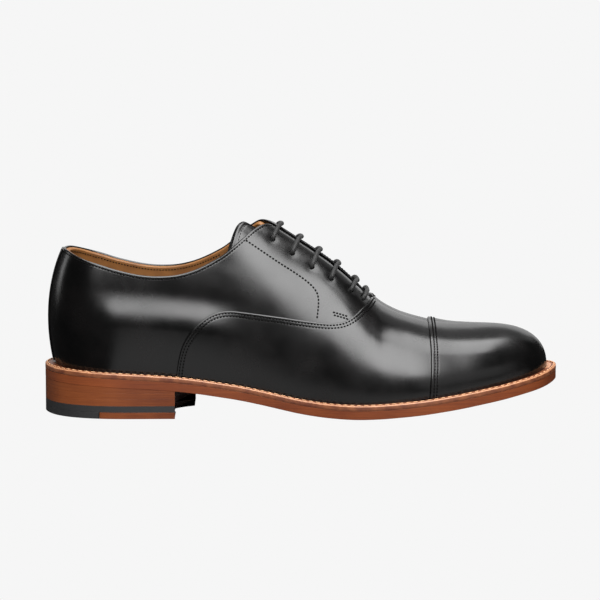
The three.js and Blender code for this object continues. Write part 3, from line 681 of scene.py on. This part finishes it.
def waxed_cord():
    # Round braided cotton lace, waxed: eight carriers cross every 0.8 mm round the cord.
    made = finish("waxed_braided_lace", "#121110", 0.6, Sheen_Weight=0.04, Sheen_Roughness=0.5)
    tree = made[1]
    along = node(tree, "ShaderNodeUVMap", uv_map="along").outputs["UV"]
    one = node(tree, "ShaderNodeMapping", {"Vector": along}, Scale=(1, 1, 1), Rotation=(0, 0, 0.785))
    a, b = (node(tree, "ShaderNodeTexWave", {"Vector": one.outputs["Vector"]}, Scale=0.42,
                 bands_direction=way) for way in "XY")
    both = node(tree, "ShaderNodeMath", {0: a.outputs["Fac"], 1: b.outputs["Fac"]}, operation="MULTIPLY")
    both = both.outputs["Value"]
    return coloured(made, both, both, "#070707", "#151413", 0.7, 0.0002, 0.0, 0.8)


CALF = black_calf()
LINING = tan_lining()
SOLE_LEATHER = sole_leather()
LIFT_LEATHER = sole_leather("stacked_heel_leather", "#562711", "#723a18", 0.45)
SEAT_LEATHER = sole_leather("insole_shoulder_leather", "#a8743f", "#c39058", 0.6)
# Welting cut from shoulder leather, wheel-pressed and stained. Its skived top corner gets a paler colour on
# the faces that look partly upward:
# a painted highlight, the shine on the bevel put into the colour as a pale line round the shoe.
WELTING = clouded("stained_welting", "#5a2c19", "#784527", 0.45, 0.25, 5.0, 0.3)
WELT_BEVEL_PAINTED_HIGHLIGHT = clouded("welt_bevel_painted_highlight", "#986647", "#b5805c", 0.45, 0.25, 5.0, 0.3)
BLACK_THREAD = thread("waxed_black_thread", "#080707", 0.85, Specular_IOR_Level=0.08)
PALE_THREAD = thread("natural_linen_thread", "#c4946c")
# Moulded black rubber, buffed: matt, with a fine sanded tooth of 0.5 mm.
RUBBER = clouded("moulded_heel_rubber", "#1a1a1b", "#232324", 0.7, 2.0, bump=0.25)
# Leather heel breast blacked with ink and polished.
BREAST = clouded("inked_heel_breast", "#15100f", "#2a1f1b", 0.42, 0.6, bump=0.0)
CORD = waxed_cord()
# Fibre board pressed from leather scrap: dull, flecked every 1.5 mm.
BOARD = clouded("pressed_fibre_board", "#a8977a", "#c3b496", 0.85, 1 / 1.5)
# Woven stay tape dyed black, so that no pale edge shows between the facings.
STAY_TAPE = clouded("black_dyed_stay_tape", "#0b0a0a", "#151414", 0.85, 1.0)
# Granulated cork pressed in warm: crumbs about 1.2 mm across.
CORK = clouded("pressed_cork", "#8f6a40", "#c39a66", 0.9, 1 / 1.2)
# Rolled steel and drawn brass: a bright skin, faintly clouded by handling.
STEEL = clouded("spring_steel", "#8f9193", "#a9abad", 0.35, 1 / 3, Metallic=1.0)
BRASS = clouded("drawn_brass", "#a8803c", "#c39a50", 0.3, 1 / 2, Metallic=1.0)
BLACKED = clouded("blacked_brass_eyelet", "#17140f", "#241f18", 0.45, 1 / 2, Metallic=1.0)
# Shrunk plastic film on the lace's tips: smooth, with a low shine.
FILM = clouded("shrunk_lace_tip", "#181818", "#222222", 0.3, 1 / 2)

# ---- the upper's lines
SIDES = ((-1, "lateral"), (1, "medial"))


def settle(side, T, h):
    """How far the outer facing lies below the inner one beside the lacing."""
    if side > 0:
        return np.zeros(np.shape(T))
    top = last(T, np.ones(np.shape(T)))
    d = np.linalg.norm(last(T, h) - top, axis=-1)
    return -1.9 * np.exp(-(d / 6.5) ** 2) * ramp(top[..., 0], 110, 128) * (1 - ramp(top[..., 0], 176, 190))


def topline_to_throat(side, drop=0.0, back=0.0):
    """The quarter's worked edge: heel, topline, facing corner, facing edge, throat."""
    pts = find([(u, w - drop) for u, w in TOPLINE + CORNER[side]], side)
    first = find([(11.6, 96.4 - drop)], side)[0]
    start = (0.0 if side < 0 else 1.0, first[1])
    line = [start] + [tuple(p) for p in pts]
    for u in (135.5, 141, 150, 160, 170, 180, 190):
        T = crown_T(u, side)
        gap = mix(4.0, 2.4, float(ramp(u, 130, 190))) + 2 * back
        line.append((float(T), float(facing_h(T, gap))))
    return line


def seam(side, distance=0.0):
    """The vamp seam from the welt to the throat, moved forward by a distance."""
    p = np.array(VAMP_SEAM, float)
    d = unit(np.gradient(p, axis=0))
    p = p + np.stack([d[:, 1], -d[:, 0]], -1) * distance
    p = p[p[:, 1] < crown_line(p[:, 0]) - 1.6]
    q = find(p, side)
    foot = float(welt_T(77.4 + distance, side))
    top = THROAT + distance * 0.85
    return [(foot, 0.0)] + [tuple(x) for x in q] + [(float(crown_T(top, side)), 1.0)]


def hole_dimple(side, spots, depth=0.35, reach=2.9):
    """The leather pulled down a little round each lace hole."""
    def extra(patch):
        out = np.zeros(patch.edge.shape)
        for T, h in spots:
            r = np.linalg.norm(patch.base - last(T, h), axis=-1)
            out -= depth * np.exp(-(r / reach) ** 2)
        return out
    return extra


def punch(obj, spots, radius, ring=20):
    """Cuts the lace holes through a piece, square to the last."""
    points, faces = [], []
    for T, h in spots:
        a, b = on_last(T, h, -6.0), on_last(T, h, 3.0)
        axis = (b - a) / np.linalg.norm(b - a)
        x = np.cross(axis, [1, 0, 0])
        x /= np.linalg.norm(x)
        y = np.cross(axis, x)
        o = len(points)
        for c in (a, b):
            for k in range(ring):
                t = 2 * math.pi * k / ring
                points.append(c + (x * math.cos(t) + y * math.sin(t)) * radius)
        faces += [(o + k, o + (k + 1) % ring, o + ring + (k + 1) % ring, o + ring + k) for k in range(ring)]
        faces += [tuple(o + k for k in range(ring))[::-1], tuple(o + ring + k for k in range(ring))]
    tool = add("punch", mesh_of("punch", to_frame(points), faces))
    mod = obj.modifiers.new("hole", "BOOLEAN")
    mod.object, mod.operation, mod.solver = tool, "DIFFERENCE", "EXACT"
    with bpy.context.temp_override(object=obj, active_object=obj):
        bpy.ops.object.modifier_apply(modifier="hole")
    bpy.data.objects.remove(tool)


SPOTS = {side: find(EYELETS, side) for side, _ in SIDES}
for side, tag in SIDES:
    worked = smooth(topline_to_throat(side), 260)
    home = 0.0 if side < 0 else 1.0
    under = [(home, 0.0)]
    for u in (12, 25, 40, 60, 78):
        under.append((float(welt_T(u, side)), 0.0))
    lower = smooth(under + seam(side, UNDERLAP), 260)
    patch = Patch(lower, worked, 46)
    out, inn = patch.surface(0.0, -1.5, 0.75, dents=((1.8, 0.04, 0.4),),
                             extra=hole_dimple(side, SPOTS[side]), sink=settle(side, patch.T, patch.h))
    q = weld(make(f"quarter_leather_{tag}", *turned(*closed_sheet(out, inn), side > 0), CALF, "black_calf"))
    lining = smooth(topline_to_throat(side, 0.35, 6.0), 200)
    lp = Patch(lower[np.linspace(0, 259, 200).astype(int)], lining, 30)
    out, inn = lp.surface(-1.6, -4.2, 0.6, sink=settle(side, lp.T, lp.h))
    sheet = turned(*closed_sheet(out, inn), side > 0)
    ln = weld(make(f"quarter_lining_{tag}_leather", *sheet, LINING, "lining"))
    punch(q, SPOTS[side], HOLE_R)
    punch(ln, SPOTS[side], HOLE_R + 1.0)
    crease(q, 50)
    place(q, "shoe", f"quarter_{tag}")
    place(ln, "shoe", f"quarter_lining_{tag}")

    rows = [stitch_row(patch.row(1.8, (1.5, 0)), 0.06, 1.85, 1.3, 0.85, 0.3, side)]
    reinforce = smooth(find(FACING_STITCH, side), 120)
    rows.append(stitch_row(reinforce, 0.16, 2.0, 1.45, 1.0, 0.65, side))
    for k in (0, 1):
        tack = find([(168.2 + 0.5 * k, 62.0 - 1.6 * k), (177.0 + 0.5 * k, 59.5 - 1.6 * k)], side)
        rows.append(stitch_row(smooth(tack, 20), 0.16, 1.65, 1.4, 1.0, 0.65, side))
    rows.append(stitch_row(lp.row(2.0, (1.5, 112)), -4.25, 1.75, 1.15, 0.7, 0.5, side))
    pts, faces = join(rows)
    place(make(f"quarter_stitches_{tag}", pts, faces, BLACK_THREAD, "black_calf"), "shoe")

# ---- the vamp
halves, vamp_rows, lining_halves = [], [], []
for side, tag in SIDES:
    edge_line = seam(side)
    n_seam = 200
    a1 = smooth(edge_line, n_seam)
    crown_u = np.linspace(THROAT, 236, 45)[1:]
    a2 = np.stack([crown_T(crown_u, side), np.ones(len(crown_u))], -1)
    high = np.concatenate([a1, a2])
    run = run_of(last(*high.T))
    u = mix(77.4, 236, run / run[-1])
    low = np.stack([welt_T(u, side), np.zeros(len(u))], -1)
    patch = Patch(low, high, 46)
    patch.edge = near(patch.base, last(*a1.T))
    out, inn = patch.surface(VAMP_LEVEL, 0.08, 0.55, dents=[(d, 0.04, 0.38) for d in VAMP_ROWS])
    halves.append(turned(*closed_sheet(out, inn), side > 0))
    sub = Patch(low[:n_seam], high[:n_seam], 46)
    for d in VAMP_ROWS:
        vamp_rows.append(stitch_row(sub.row(d), VAMP_LEVEL + 0.14, *SEAM_STITCH))
    low_in = np.stack([welt_T(np.linspace(88, 290, 90), side), np.zeros(90)], -1)
    low_in[-1, 0] = 0.5
    hi_u = np.linspace(200, 258, 40)
    hi = np.concatenate([smooth(seam(side, UNDERLAP + 0.8), 50),
                         np.stack([crown_T(hi_u, side), np.ones(40)], -1)])
    hi[-1, 0] = 0.5
    lp = Patch(low_in, hi, 14, edge_rows=(0, 1.0))
    out, inn = lp.surface(-0.05, -1.2, 0.2)
    lining_halves.append(turned(*closed_sheet(out, inn), side > 0))


def bend(obj, *nodes_):
    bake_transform(obj)
    if nodes_:
        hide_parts(*nodes_)


vamp = weld(make("vamp_leather", *join(halves), CALF, "black_calf"))
crease(vamp, 60)
bend(vamp, "vamp")
bend(make("vamp_seam_stitches", *join(vamp_rows), BLACK_THREAD, "black_calf"))
bend(weld(make("vamp_lining_leather", *join(lining_halves), LINING, "lining")), "vamp_lining")

# ---- the toe cap
halves, cap_rows = [], []
for side, tag in SIDES:
    worked = smooth(across(CAP_SEAM, side), 120)
    low = np.stack([np.full(120, 0.5), worked[:, 1]], -1)
    patch = Patch(low, worked, 60)
    out, inn = patch.surface(CAP_LEVEL, VAMP_LEVEL + 0.05, 0.5, dents=[(d, 0.04, 0.38) for d in CAP_ROWS])
    halves.append(turned(*closed_sheet(out, inn), side < 0))
    for d in CAP_ROWS:
        cap_rows.append(stitch_row(patch.row(d), CAP_LEVEL + 0.14, *SEAM_STITCH))
cap = weld(make("toe_cap_leather", *join(halves), CALF, "black_calf"))
crease(cap, 60)
place(cap, "forepart", "toe_cap")
place(make("toe_cap_stitches", *join(cap_rows), BLACK_THREAD, "black_calf"), "forepart")

# ---- back strip
strip_h = np.linspace(0.03, float(find([(12.2, 95.2)], -1)[0, 1]), 90)
wide = np.linspace(-1, 1, 17)
strip = []
for h in strip_h:
    grow = 0.0011 * (3.2 + 1.8 * float(ramp(h, strip_h[-1] - 0.06, strip_h[-1])))
    strip.append([(grow * w * 2.2, h) for w in wide])
strip = np.array(strip)
lift = 0.05 + 0.95 * np.sqrt(np.maximum(1 - np.abs(wide) ** 6, 0))[None, :] * np.ones((90, 1))
lift = lift - 0.25 * np.exp(-(wide / 0.12) ** 2)[None, :] * (strip_h < strip_h[-1] - 0.05)[:, None]
T = np.mod(strip[..., 0], 1.0)
outer_s = on_last(T, strip[..., 1], lift)
inner_s = on_last(T, strip[..., 1], np.full(T.shape, -0.3))
back = weld(make("back_strip_leather", *closed_sheet(outer_s, inner_s), CALF, "black_calf"))
place(back, "shoe", "back_strip")

# ---- the tongue
# Ruled across from the outer edge, over the crown, to the inner edge.
def tongue_edge(side):
    pts = [(106, 91), (114.5, 88), (128, 85.5), (146, 78), (162, 66), (176, 55.5), (190, 51)]
    return smooth(find(pts, side), 130)


lat, med = tongue_edge(-1), tongue_edge(1)
rows, s24 = [], np.linspace(0, 1, 24)
for k in range(130):
    top_u = mix(122.3, 198, k / 129)
    left = on_last(mix(lat[k, 0], crown_T(top_u, -1), s24), mix(lat[k, 1], 1.0, s24), 0.0)
    right = on_last(mix(crown_T(top_u, 1), med[k, 0], s24), mix(1.0, med[k, 1], s24), 0.0)
    rows.append(np.concatenate([left, right[1:]]))
base = np.array(rows)
gu = np.gradient(base, axis=0)
gv = np.gradient(base, axis=1)
nrm = unit(np.cross(gv, gu))
nrm = np.where(nrm[..., 2:] < 0, -nrm, nrm)
rim = near(base, np.concatenate([base[::-1, 0], base[0], base[:, -1]]))
q = np.sqrt(np.maximum(1 - (1 - np.clip(rim / 1.0, 0, 1)) ** 2, 0))
mid_level = TONGUE_TOP - 1.1
outer_t = base + nrm * (mid_level + 1.1 * q - 0.14 * np.exp(-((rim - 3.0) / 0.5) ** 2))[..., None]
inner_t = base + nrm * (mid_level - 1.1 * q)[..., None]
tongue = weld(make("tongue_leather", *closed_sheet(outer_t, inner_t), CALF, "black_calf"))
place(tongue, "tongue_flap", "tongue")
# its stitch row, 3 mm inside the rim
line = []
for k in range(130):
    d = rim[k, :24]
    if d.max() > 3.0 and k > 6:
        j = int(np.argmax(np.maximum.accumulate(d) >= 3.0))
        line.append(outer_t[k, j])
top = [outer_t[int(np.argmax(np.maximum.accumulate(rim[:, j]) >= 3.0)), j] for j in range(8, 39)]
path = np.array(line[::-1] + top)
run = run_of(path)
at = np.arange(1.0, run[-1], 1.9)
pc = read_at(at, run, path)
pa = read_at(at + 0.4, run, path) - read_at(at - 0.4, run, path)
up = np.zeros_like(pc)
flat = outer_t.reshape(-1, 3)
nf = nrm.reshape(-1, 3)
for k in range(len(pc)):
    up[k] = nf[np.argmin(((flat - pc[k]) ** 2).sum(1))]
stitches = beads(pc + up * 0.05, pa, up, 1.5, 0.45, 0.4)
place(make("tongue_stitches", *stitches, BLACK_THREAD, "black_calf"), "tongue_flap")


# ---- the lace
def lace_route():
    pts = []

    def at(a, b, s, level):
        pts.append(on_last(mix(a[0], b[0], s), mix(a[1], b[1], s), level))

    def crown_over(spot, side, row):
        x = last(*spot)[0] + BAR_LEAN[row]
        return (float(crown_T(x, side)), 1.0)

    def legs(spot, toward, level0, level1, reach, down):
        gap = np.linalg.norm(last(*spot) - last(*toward))
        turn = [(0.05, 0.3), (0.25, 0.68), (0.6, 0.93), (1.0, 1.0)]
        for s, f in (turn if down else turn[::-1]):
            at(spot, toward, s * reach / gap, mix(level0, level1, f))

    def tail(spot, drop):
        return (spot[0], spot[1] - drop)

    spots = {0: SPOTS[-1], 1: SPOTS[1]}
    sides = {0: -1, 1: 1}
    for s in (0.0, 0.5):
        at(tail(spots[0][1], 0.1), tail(spots[0][0], 0.1), s, INNER_RUN)
    legs(spots[0][0], tail(spots[0][0], 0.12), -4.6, INNER_RUN, 2.1, False)
    k = 0
    for row in range(6):
        here, there = spots[k][row], spots[1 - k][row]
        for v in (-4.2, -2.6, -1.0, 0.1):
            at(here, here, 0, v)
        top = crown_over(here, sides[k], row)
        legs(here, top, 0.3, BAR_LEVEL, 2.2, True)
        for s in (0.4, 0.6, 0.8, 0.95):
            at(here, top, s, BAR_LEVEL)
        top = crown_over(there, sides[1 - k], row)
        for s in (0.95, 0.8, 0.6, 0.4):
            at(there, top, s, BAR_LEVEL)
        legs(there, top, 0.3, BAR_LEVEL, 2.2, False)
        for v in (0.1, -1.0, -2.6, -4.2):
            at(there, there, 0, v)
        k = 1 - k
        if row < 5:
            nxt = spots[k][row + 1]
            legs(there, nxt, -4.6, INNER_RUN, 2.1, True)
            at(there, nxt, 0.5, INNER_RUN)
            legs(nxt, there, -4.6, INNER_RUN, 2.1, False)
    end = spots[k][5]
    legs(end, tail(end, 0.12), -4.6, INNER_RUN, 2.1, True)
    for s in (0.35, 1.0):
        at(tail(end, 0.13), tail(spots[k][4], 0.13), s, INNER_RUN)
    return np.array(pts)


def tube(path, radius, around, step):
    """A round tube along a smooth line, with its length and turn as UV in mm."""
    knots = run_of(path)
    fine = np.arange(0, knots[-1], step)
    p = np.stack([through(list(zip(knots, path[:, k])))(fine) for k in range(3)], -1)
    for _ in range(6):
        p[1:-1] = p[1:-1] * 0.5 + (p[:-2] + p[2:]) * 0.25
    tan = unit(np.gradient(p, axis=0))
    ref = np.cross(tan[0], [0, 0, 1.0])
    pts, uv = [], []
    for k in range(len(p)):
        ref = ref - tan[k] * ref.dot(tan[k])
        ref /= np.linalg.norm(ref)
        other = np.cross(tan[k], ref)
        for a in range(around):
            c = 2 * math.pi * a / around
            pts.append(p[k] + (ref * math.cos(c) + other * math.sin(c)) * radius)
            uv.append((fine[k], abs(1 - 2 * a / around) * math.pi * radius))
    faces = ring_faces(len(p), around)
    faces.append(tuple(range(around))[::-1])
    faces.append(tuple((len(p) - 1) * around + a for a in range(around)))
    return np.array(pts), faces, uv, fine[-1]


route = lace_route()
pts, faces, uv, lace_length = tube(route, LACE_R, 16, 0.35)
lace = make("lace_cord", pts, faces, CORD, "lace_cord", uv=uv)
place(lace, "shoe", "lace")


# ---- the sole
def plate(inset, tops, bottoms, edge_cut=0.35, count=300, rings=(1, 0.9, 0.7, 0.4, 0)):
    """A level layer inside the outline, with its rim rounded a little."""
    T = np.arange(count) / count
    ins = inset(T)
    rim_ = plan(T, ins)
    mate = rim_[(-np.arange(count)) % count]
    mx = np.clip((rim_[:, 0] + mate[:, 0]) / 2, 30, 272)
    f = ramp(mx, 30, 272)
    clipped = ((rim_[:, 0] + mate[:, 0]) / 2 <= 30) | ((rim_[:, 0] + mate[:, 0]) / 2 >= 272)
    my = np.where(clipped, 5 * f, (rim_[:, 1] + mate[:, 1]) / 2)
    mid = np.stack([mx, my], -1)
    inner = plan(T, ins + edge_cut)
    loops = []

    def loop(xy, z, r):
        loops.append(np.concatenate([xy, z(xy[:, 0], r)[:, None]], 1))

    for r in rings[::-1][:-1]:
        loop(mix(mid, inner, r), bottoms, r)
    loop(inner, bottoms, 1.0)
    loop(rim_, lambda u, r: bottoms(u, r) + edge_cut, 1.0)
    loop(rim_, lambda u, r: mix(bottoms(u, r) + edge_cut, tops(u, r) - edge_cut, 0.5), 1.0)
    loop(rim_, lambda u, r: tops(u, r) - edge_cut, 1.0)
    loop(inner, tops, 1.0)
    for r in rings[1:]:
        loop(mix(mid, inner, r), tops, r)
    g = np.array(loops)
    return g.reshape(-1, 3), ring_faces(len(loops), count)


def ones(value):
    return lambda T: np.full(np.shape(T), float(value))


def hollow(u):
    return 2.15 * ramp(u, 96, 160) * (1 - 0.55 * ramp(u, 200, 290))


def under(u, r):
    channel = 0.35 * np.exp(-((np.asarray(r) - 0.9) / 0.02) ** 2) * ramp(u, 92, 100)
    return sole_under(u) - hollow(u) * (1 - r * r) + channel


outsole = plate(ones(0.05), lambda u, r: outsole_top(u) + 0 * r, under, edge_cut=0.15,
                rings=(1, 0.93, 0.91, 0.9, 0.89, 0.87, 0.7, 0.4, 0))
outsole = weld(make("outsole_leather", *outsole, SOLE_LEATHER, "sole_leather"))
crease(outsole, 28)
bend(outsole, "outsole")


def lining_inset(T):
    s = station(T)
    return s[..., 2] + mix(4.2, 1.2, ramp(s[..., 0], 94, 104)) + 0.4


insole_low = lambda u, r: outsole_top(u) + 2.1 + 0 * r
insole_high = lambda u, r: outsole_top(u) + 2.1 + INSOLE + 0 * r
insole = plate(lining_inset, insole_high, insole_low)
insole = weld(make("insole_leather_board", *insole, SEAT_LEATHER, "insole_leather"))
bend(insole, "insole")

PITCH = 4.1
loop_T = np.arange(4000) / 4000
edge_xy = plan(loop_T, 0.0)
loop_run = run_of(np.concatenate([edge_xy, edge_xy[:1]]))
WELT_STITCHES = int(round(loop_run[-1] / PITCH))


def welt_mesh():
    count = WELT_STITCHES * 8
    T = np.interp(np.arange(count) / count * loop_run[-1], loop_run, np.r_[loop_T, 1.0])
    s = station(T)
    grip = 0.35 + 1.4 * ramp(s[:, 0], 62, 74) + 1.3 * ramp(s[:, 0], 208, 221)
    inner = s[:, 2] - grip
    phase = np.arange(count) / 8 * 2 * math.pi
    notch = 0.5 + 0.5 * np.cos(phase)
    loops = []

    def loop(inset, z):
        xy = plan(T, inset)
        loops.append(np.concatenate([xy, (z(xy[:, 0]))[:, None]], 1))

    foot = lambda u: outsole_top(u) + 0.03
    loop(inner, foot)
    loop(0.2 + 0 * T, foot)
    loop(0.0 + 0 * T, lambda u: outsole_top(u) + 0.18)
    loop(0.0 + 0 * T, lambda u: outsole_top(u) + 1.2)
    loop(0.0 + 0 * T, lambda u: welt_top(u) - 0.75)
    loop(0.1 + 0 * T, lambda u: welt_top(u) - 0.4)
    loop(0.4 + 0 * T, lambda u: welt_top(u) - 0.12 - 0.06 * notch)
    loop(0.8 + 0 * T, lambda u: welt_top(u) - 0.1 - 0.3 * notch)
    loop(1.3 + 0 * T, lambda u: welt_top(u) - 0.1 - 0.4 * notch)
    loop(np.minimum(1.9, inner - 0.8), lambda u: welt_top(u) - 0.1 - 0.2 * notch)
    loop(np.minimum(2.9, inner - 0.4), lambda u: welt_top(u) - 0.1)
    loop(inner, lambda u: welt_top(u) - 0.15)
    g = np.array(loops + [loops[0]])
    return g.reshape(-1, 3), ring_faces(len(loops), count, True)


welt = weld(make("welt_strip", *welt_mesh(), WELTING, "welt_leather"))
# painted highlight: the bevel faces just under the welt's top that look partly upward take the paler colour
inlay(welt, WELT_BEVEL_PAINTED_HIGHLIGHT, lambda c, n: (0.05 < float(welt_top(c[0] / STRETCH)) - c[2] < 0.6
                                     and 0.15 < n.z < 0.97))
crease(welt, 55)
bend(welt, "welt")

at = (np.arange(WELT_STITCHES) + 0.5) * loop_run[-1] / WELT_STITCHES
T = np.interp(at, loop_run, np.r_[loop_T, 1.0])
xy = plan(T, 1.25)
z = welt_top(xy[:, 0]) + 0.12
c = np.concatenate([xy, z[:, None]], 1)
a_xy = plan(T + 0.002, 1.25)
ahead = np.concatenate([a_xy, (welt_top(a_xy[:, 0]) + 0.12)[:, None]], 1) - c
up = np.tile([0, 0, 1.0], (len(T), 1))
bend(make("welt_stitches", *beads(c, ahead, up, 2.7, 0.8, 0.6), PALE_THREAD, "welt_leather"))


# ---- the heel
def heel_loop(inset):
    """The heel's outline: round the back, then the hollow breast."""
    T = np.linspace(-0.16, 0.16, 4000)
    p = plan(T, inset)
    lat_ok = ~((T > 0) & (p[:, 0] > 77 - inset)) & ~((T < 0) & (p[:, 0] > 87.6 - inset))
    p = p[lat_ok]
    a, b = p[-1], p[0]
    y = np.linspace(a[1], b[1], 400)[1:-1]
    breast = through([(-34.2, 77), (-22, 75.4), (-12, 75), (-2, 76.2), (8, 78.6), (19, 82.4), (31, 87.6)])
    x = breast(y) - inset
    return np.concatenate([p, np.stack([x, y], -1)])


def heel_layer(name, cad_node, material, slot, low, high, keep=None, cut=0.12, inset=0.1):
    outer, inner = heel_loop(inset), heel_loop(inset + cut)

    def even(p, n=420):
        q = np.concatenate([p, p[:1]])
        run = run_of(q)
        want = np.linspace(0, run[-1], n, endpoint=False)
        return read_at(want, run, q)

    outer, inner = even(outer), even(inner)
    if keep is not None:
        lo, hi = keep
        outer[:, 0] = np.clip(outer[:, 0], lo, hi)
        inner[:, 0] = np.clip(inner[:, 0], lo + (cut if lo > 0 else 0), hi - (cut if hi < 60 else 0))
    n = len(outer)
    rows_ = []
    for xy, zf in ((inner, low), (outer, lambda u: low(u) + cut),
                   (outer, lambda u: mix(low(u), high(u), 0.5)),
                   (outer, lambda u: high(u) - cut), (inner, high)):
        rows_.append(np.concatenate([xy, zf(xy[:, 0])[:, None]], 1))
    g = np.array(rows_).reshape(-1, 3)
    faces = []
    for a in range(4):
        for i in range(n):
            k = (i + 1) % n
            faces.append((a * n + k, a * n + i, (a + 1) * n + i, (a + 1) * n + k)[::-1])
    mid_x = np.clip(inner[:, 0], (lo + 1 if keep else 12), (hi - 1 if keep else 70))
    spine = np.stack([np.clip(mid_x, 14, 66) if not keep else mid_x, inner[:, 1] * 0.3], -1)
    base = len(g)
    g = np.concatenate([g, np.concatenate([spine, low(spine[:, 0])[:, None]], 1),
                        np.concatenate([spine, high(spine[:, 0])[:, None]], 1)])
    for i in range(n):
        k = (i + 1) % n
        faces.append((k, i, base + i, base + k))
        faces.append((4 * n + i, 4 * n + k, base + n + k, base + n + i))
    centre = len(g)
    g = np.concatenate([g, [[spine[:, 0].mean(), 0, float(low(spine[:, 0].mean()))],
                            [spine[:, 0].mean(), 0, float(high(spine[:, 0].mean()))]]])
    for i in range(n):
        k = (i + 1) % n
        faces.append((base + k, base + i, centre))
        faces.append((base + n + i, base + n + k, centre + 1))
    obj = weld(make(name, g, faces, material, slot))
    inlay(obj, BREAST, lambda c, n: n.x > 0.5 and c[0] > 70)
    crease(obj, 28)
    place(obj, "shoe", cad_node)


level = lambda z: (lambda u: np.full(np.shape(u), float(z)))
seat = lambda u: sole_under(u) - 0.03
capped = lambda z: (lambda u: np.minimum(z, seat(u)))
wedge_low = lambda u: np.minimum(15.32, seat(u) - 0.02)
for *layer, more in (
        ("top_piece_rubber_part", "top_piece_rubber", RUBBER, "black_rubber",
         level(0.0), level(3.8), dict(keep=(-5, 33))),
        ("top_piece_leather_part", "top_piece_leather", LIFT_LEATHER, "sole_leather",
         level(0.0), level(3.8), dict(keep=(33.04, 99))),
        ("rubber_slip_layer", "rubber_slip", RUBBER, "black_rubber", level(3.82), level(7.5), {}),
        ("heel_lift_lower_layer", "heel_lift_lower", LIFT_LEATHER, "sole_leather",
         level(7.52), level(11.7), dict(cut=0.1)),
        ("heel_lift_upper_layer", "heel_lift_upper", LIFT_LEATHER, "sole_leather",
         level(11.71), capped(15.3), dict(cut=0.08)),
        ("heel_seat_wedge_layer", "heel_seat_wedge", LIFT_LEATHER, "sole_leather",
         wedge_low, seat, dict(cut=0.01))):
    heel_layer(*layer, **more)

# ---- carried-over pieces
CARRIED = {"eyelet": BLACKED, "heel_nail": BRASS, "facing_stay": STAY_TAPE, "toe_puff": BOARD,
           "heel_counter": BOARD, "shank": STEEL, "aglet": FILM, "heel_sock": LINING}
for name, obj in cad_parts.items():
    for start, material in CARRIED.items():
        if name.startswith(start):
            obj.data.materials.clear()
            obj.data.materials.append(material)

cork = plate(lambda T: lining_inset(T) + 1, lambda u, r: outsole_top(u) + 1.85 + 0 * r,
             lambda u, r: outsole_top(u) + 0.25 + 0 * r, count=120)
cork = weld(make("cork_layer", *cork, CORK, "cork"))
bend(cork, "cork_filler")

# ---- studio
def lamp(name, centre, aim, size, power):
    d = bpy.data.lights.new(name, "AREA")
    d.shape = "RECTANGLE"
    d.size, d.size_y = size
    d.energy = power
    o = add(name, d)
    o.location = centre
    o.rotation_euler = (Vector(aim) - Vector(centre)).to_track_quat("-Z", "Y").to_euler()
    o.visible_camera = False


def glow(name, code, strength):
    m = bpy.data.materials.new(name)
    m.use_nodes = True
    t = m.node_tree
    t.nodes.remove(t.nodes["Principled BSDF"])
    e = node(t, "ShaderNodeEmission", Color=linear(code), Strength=strength)
    t.links.new(e.outputs["Emission"], t.nodes["Material Output"].inputs["Surface"])
    return m


def sheet_object(name, corners, material):
    o = add(name, mesh_of(name, corners, [(0, 1, 2, 3)]))
    o.data.materials.append(material)
    o.visible_glossy = False
    o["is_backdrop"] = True


paper = glow("pale_studio_paper", "#f6f6f6", 1.0)
far = 30.0
ground = -0.0005
floor = [(-far, -far, ground), (far, -far, ground), (far, far, ground), (-far, far, ground)]
sheet_object("floor", floor, paper)
sheet_object("backdrop", [(-far, 6, -0.0004), (far, 6, -0.0004), (far, 6, 3.5), (-far, 6, 3.5)], paper)

lamp("front_panel", (0.1, -0.84, 0.95), (0, 0, 0.05), (0.95, 1.1), 31)
lamp("top_panel", (0.14, 0.02, 1.3), (0.02, 0, 0.05), (0.9, 0.98), 21)
lamp("front_fill", (1.3, -1.6, 0.5), (0, 0, 0.06), (1.5, 0.7), 1.8)
lamp("back_fill", (0.3, 1.2, 1.0), (0, 0, 0.05), (1.6, 1.0), 1.5)
lamp("back_glow", (0, 3.0, 0.8), (0, 0, 0.3), (3.0, 1.6), 13)
lamp("bounce_card", (0.25, -0.23, 0.001), (0.25, -0.23, 1), (0.75, 0.3), 0.45)
lamp("heel_strip", (-1.4, 0.7, 0.35), (-0.1, 0, 0.05), (0.3, 0.6), 1.1)

world = bpy.data.worlds.new("studio")
bpy.context.scene.world = world
world.use_nodes = True
world.node_tree.nodes["Background"].inputs["Color"].default_value = (0.02, 0.02, 0.02, 1)

cam_data = bpy.data.cameras.new("camera")
cam_data.lens = 256
cam_data.sensor_width = 36
cam_data.clip_end = 200
cam = add("camera", cam_data)
tilt = math.radians(9)
aim = Vector((-0.0005, 0.0, 0.0646))
cam.location = aim + Vector((0, -math.cos(tilt), math.sin(tilt))) * 2.5
cam.rotation_euler = (aim - cam.location).to_track_quat("-Z", "Y").to_euler()
bpy.context.scene.camera = cam
bpy.context.scene.view_settings.view_transform = "Standard"

flat = lambda b: [float(x) for corner in b for x in corner]
{"cad": flat(cad_box), "visual": flat(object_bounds()), "lace_mm": float(lace_length)}
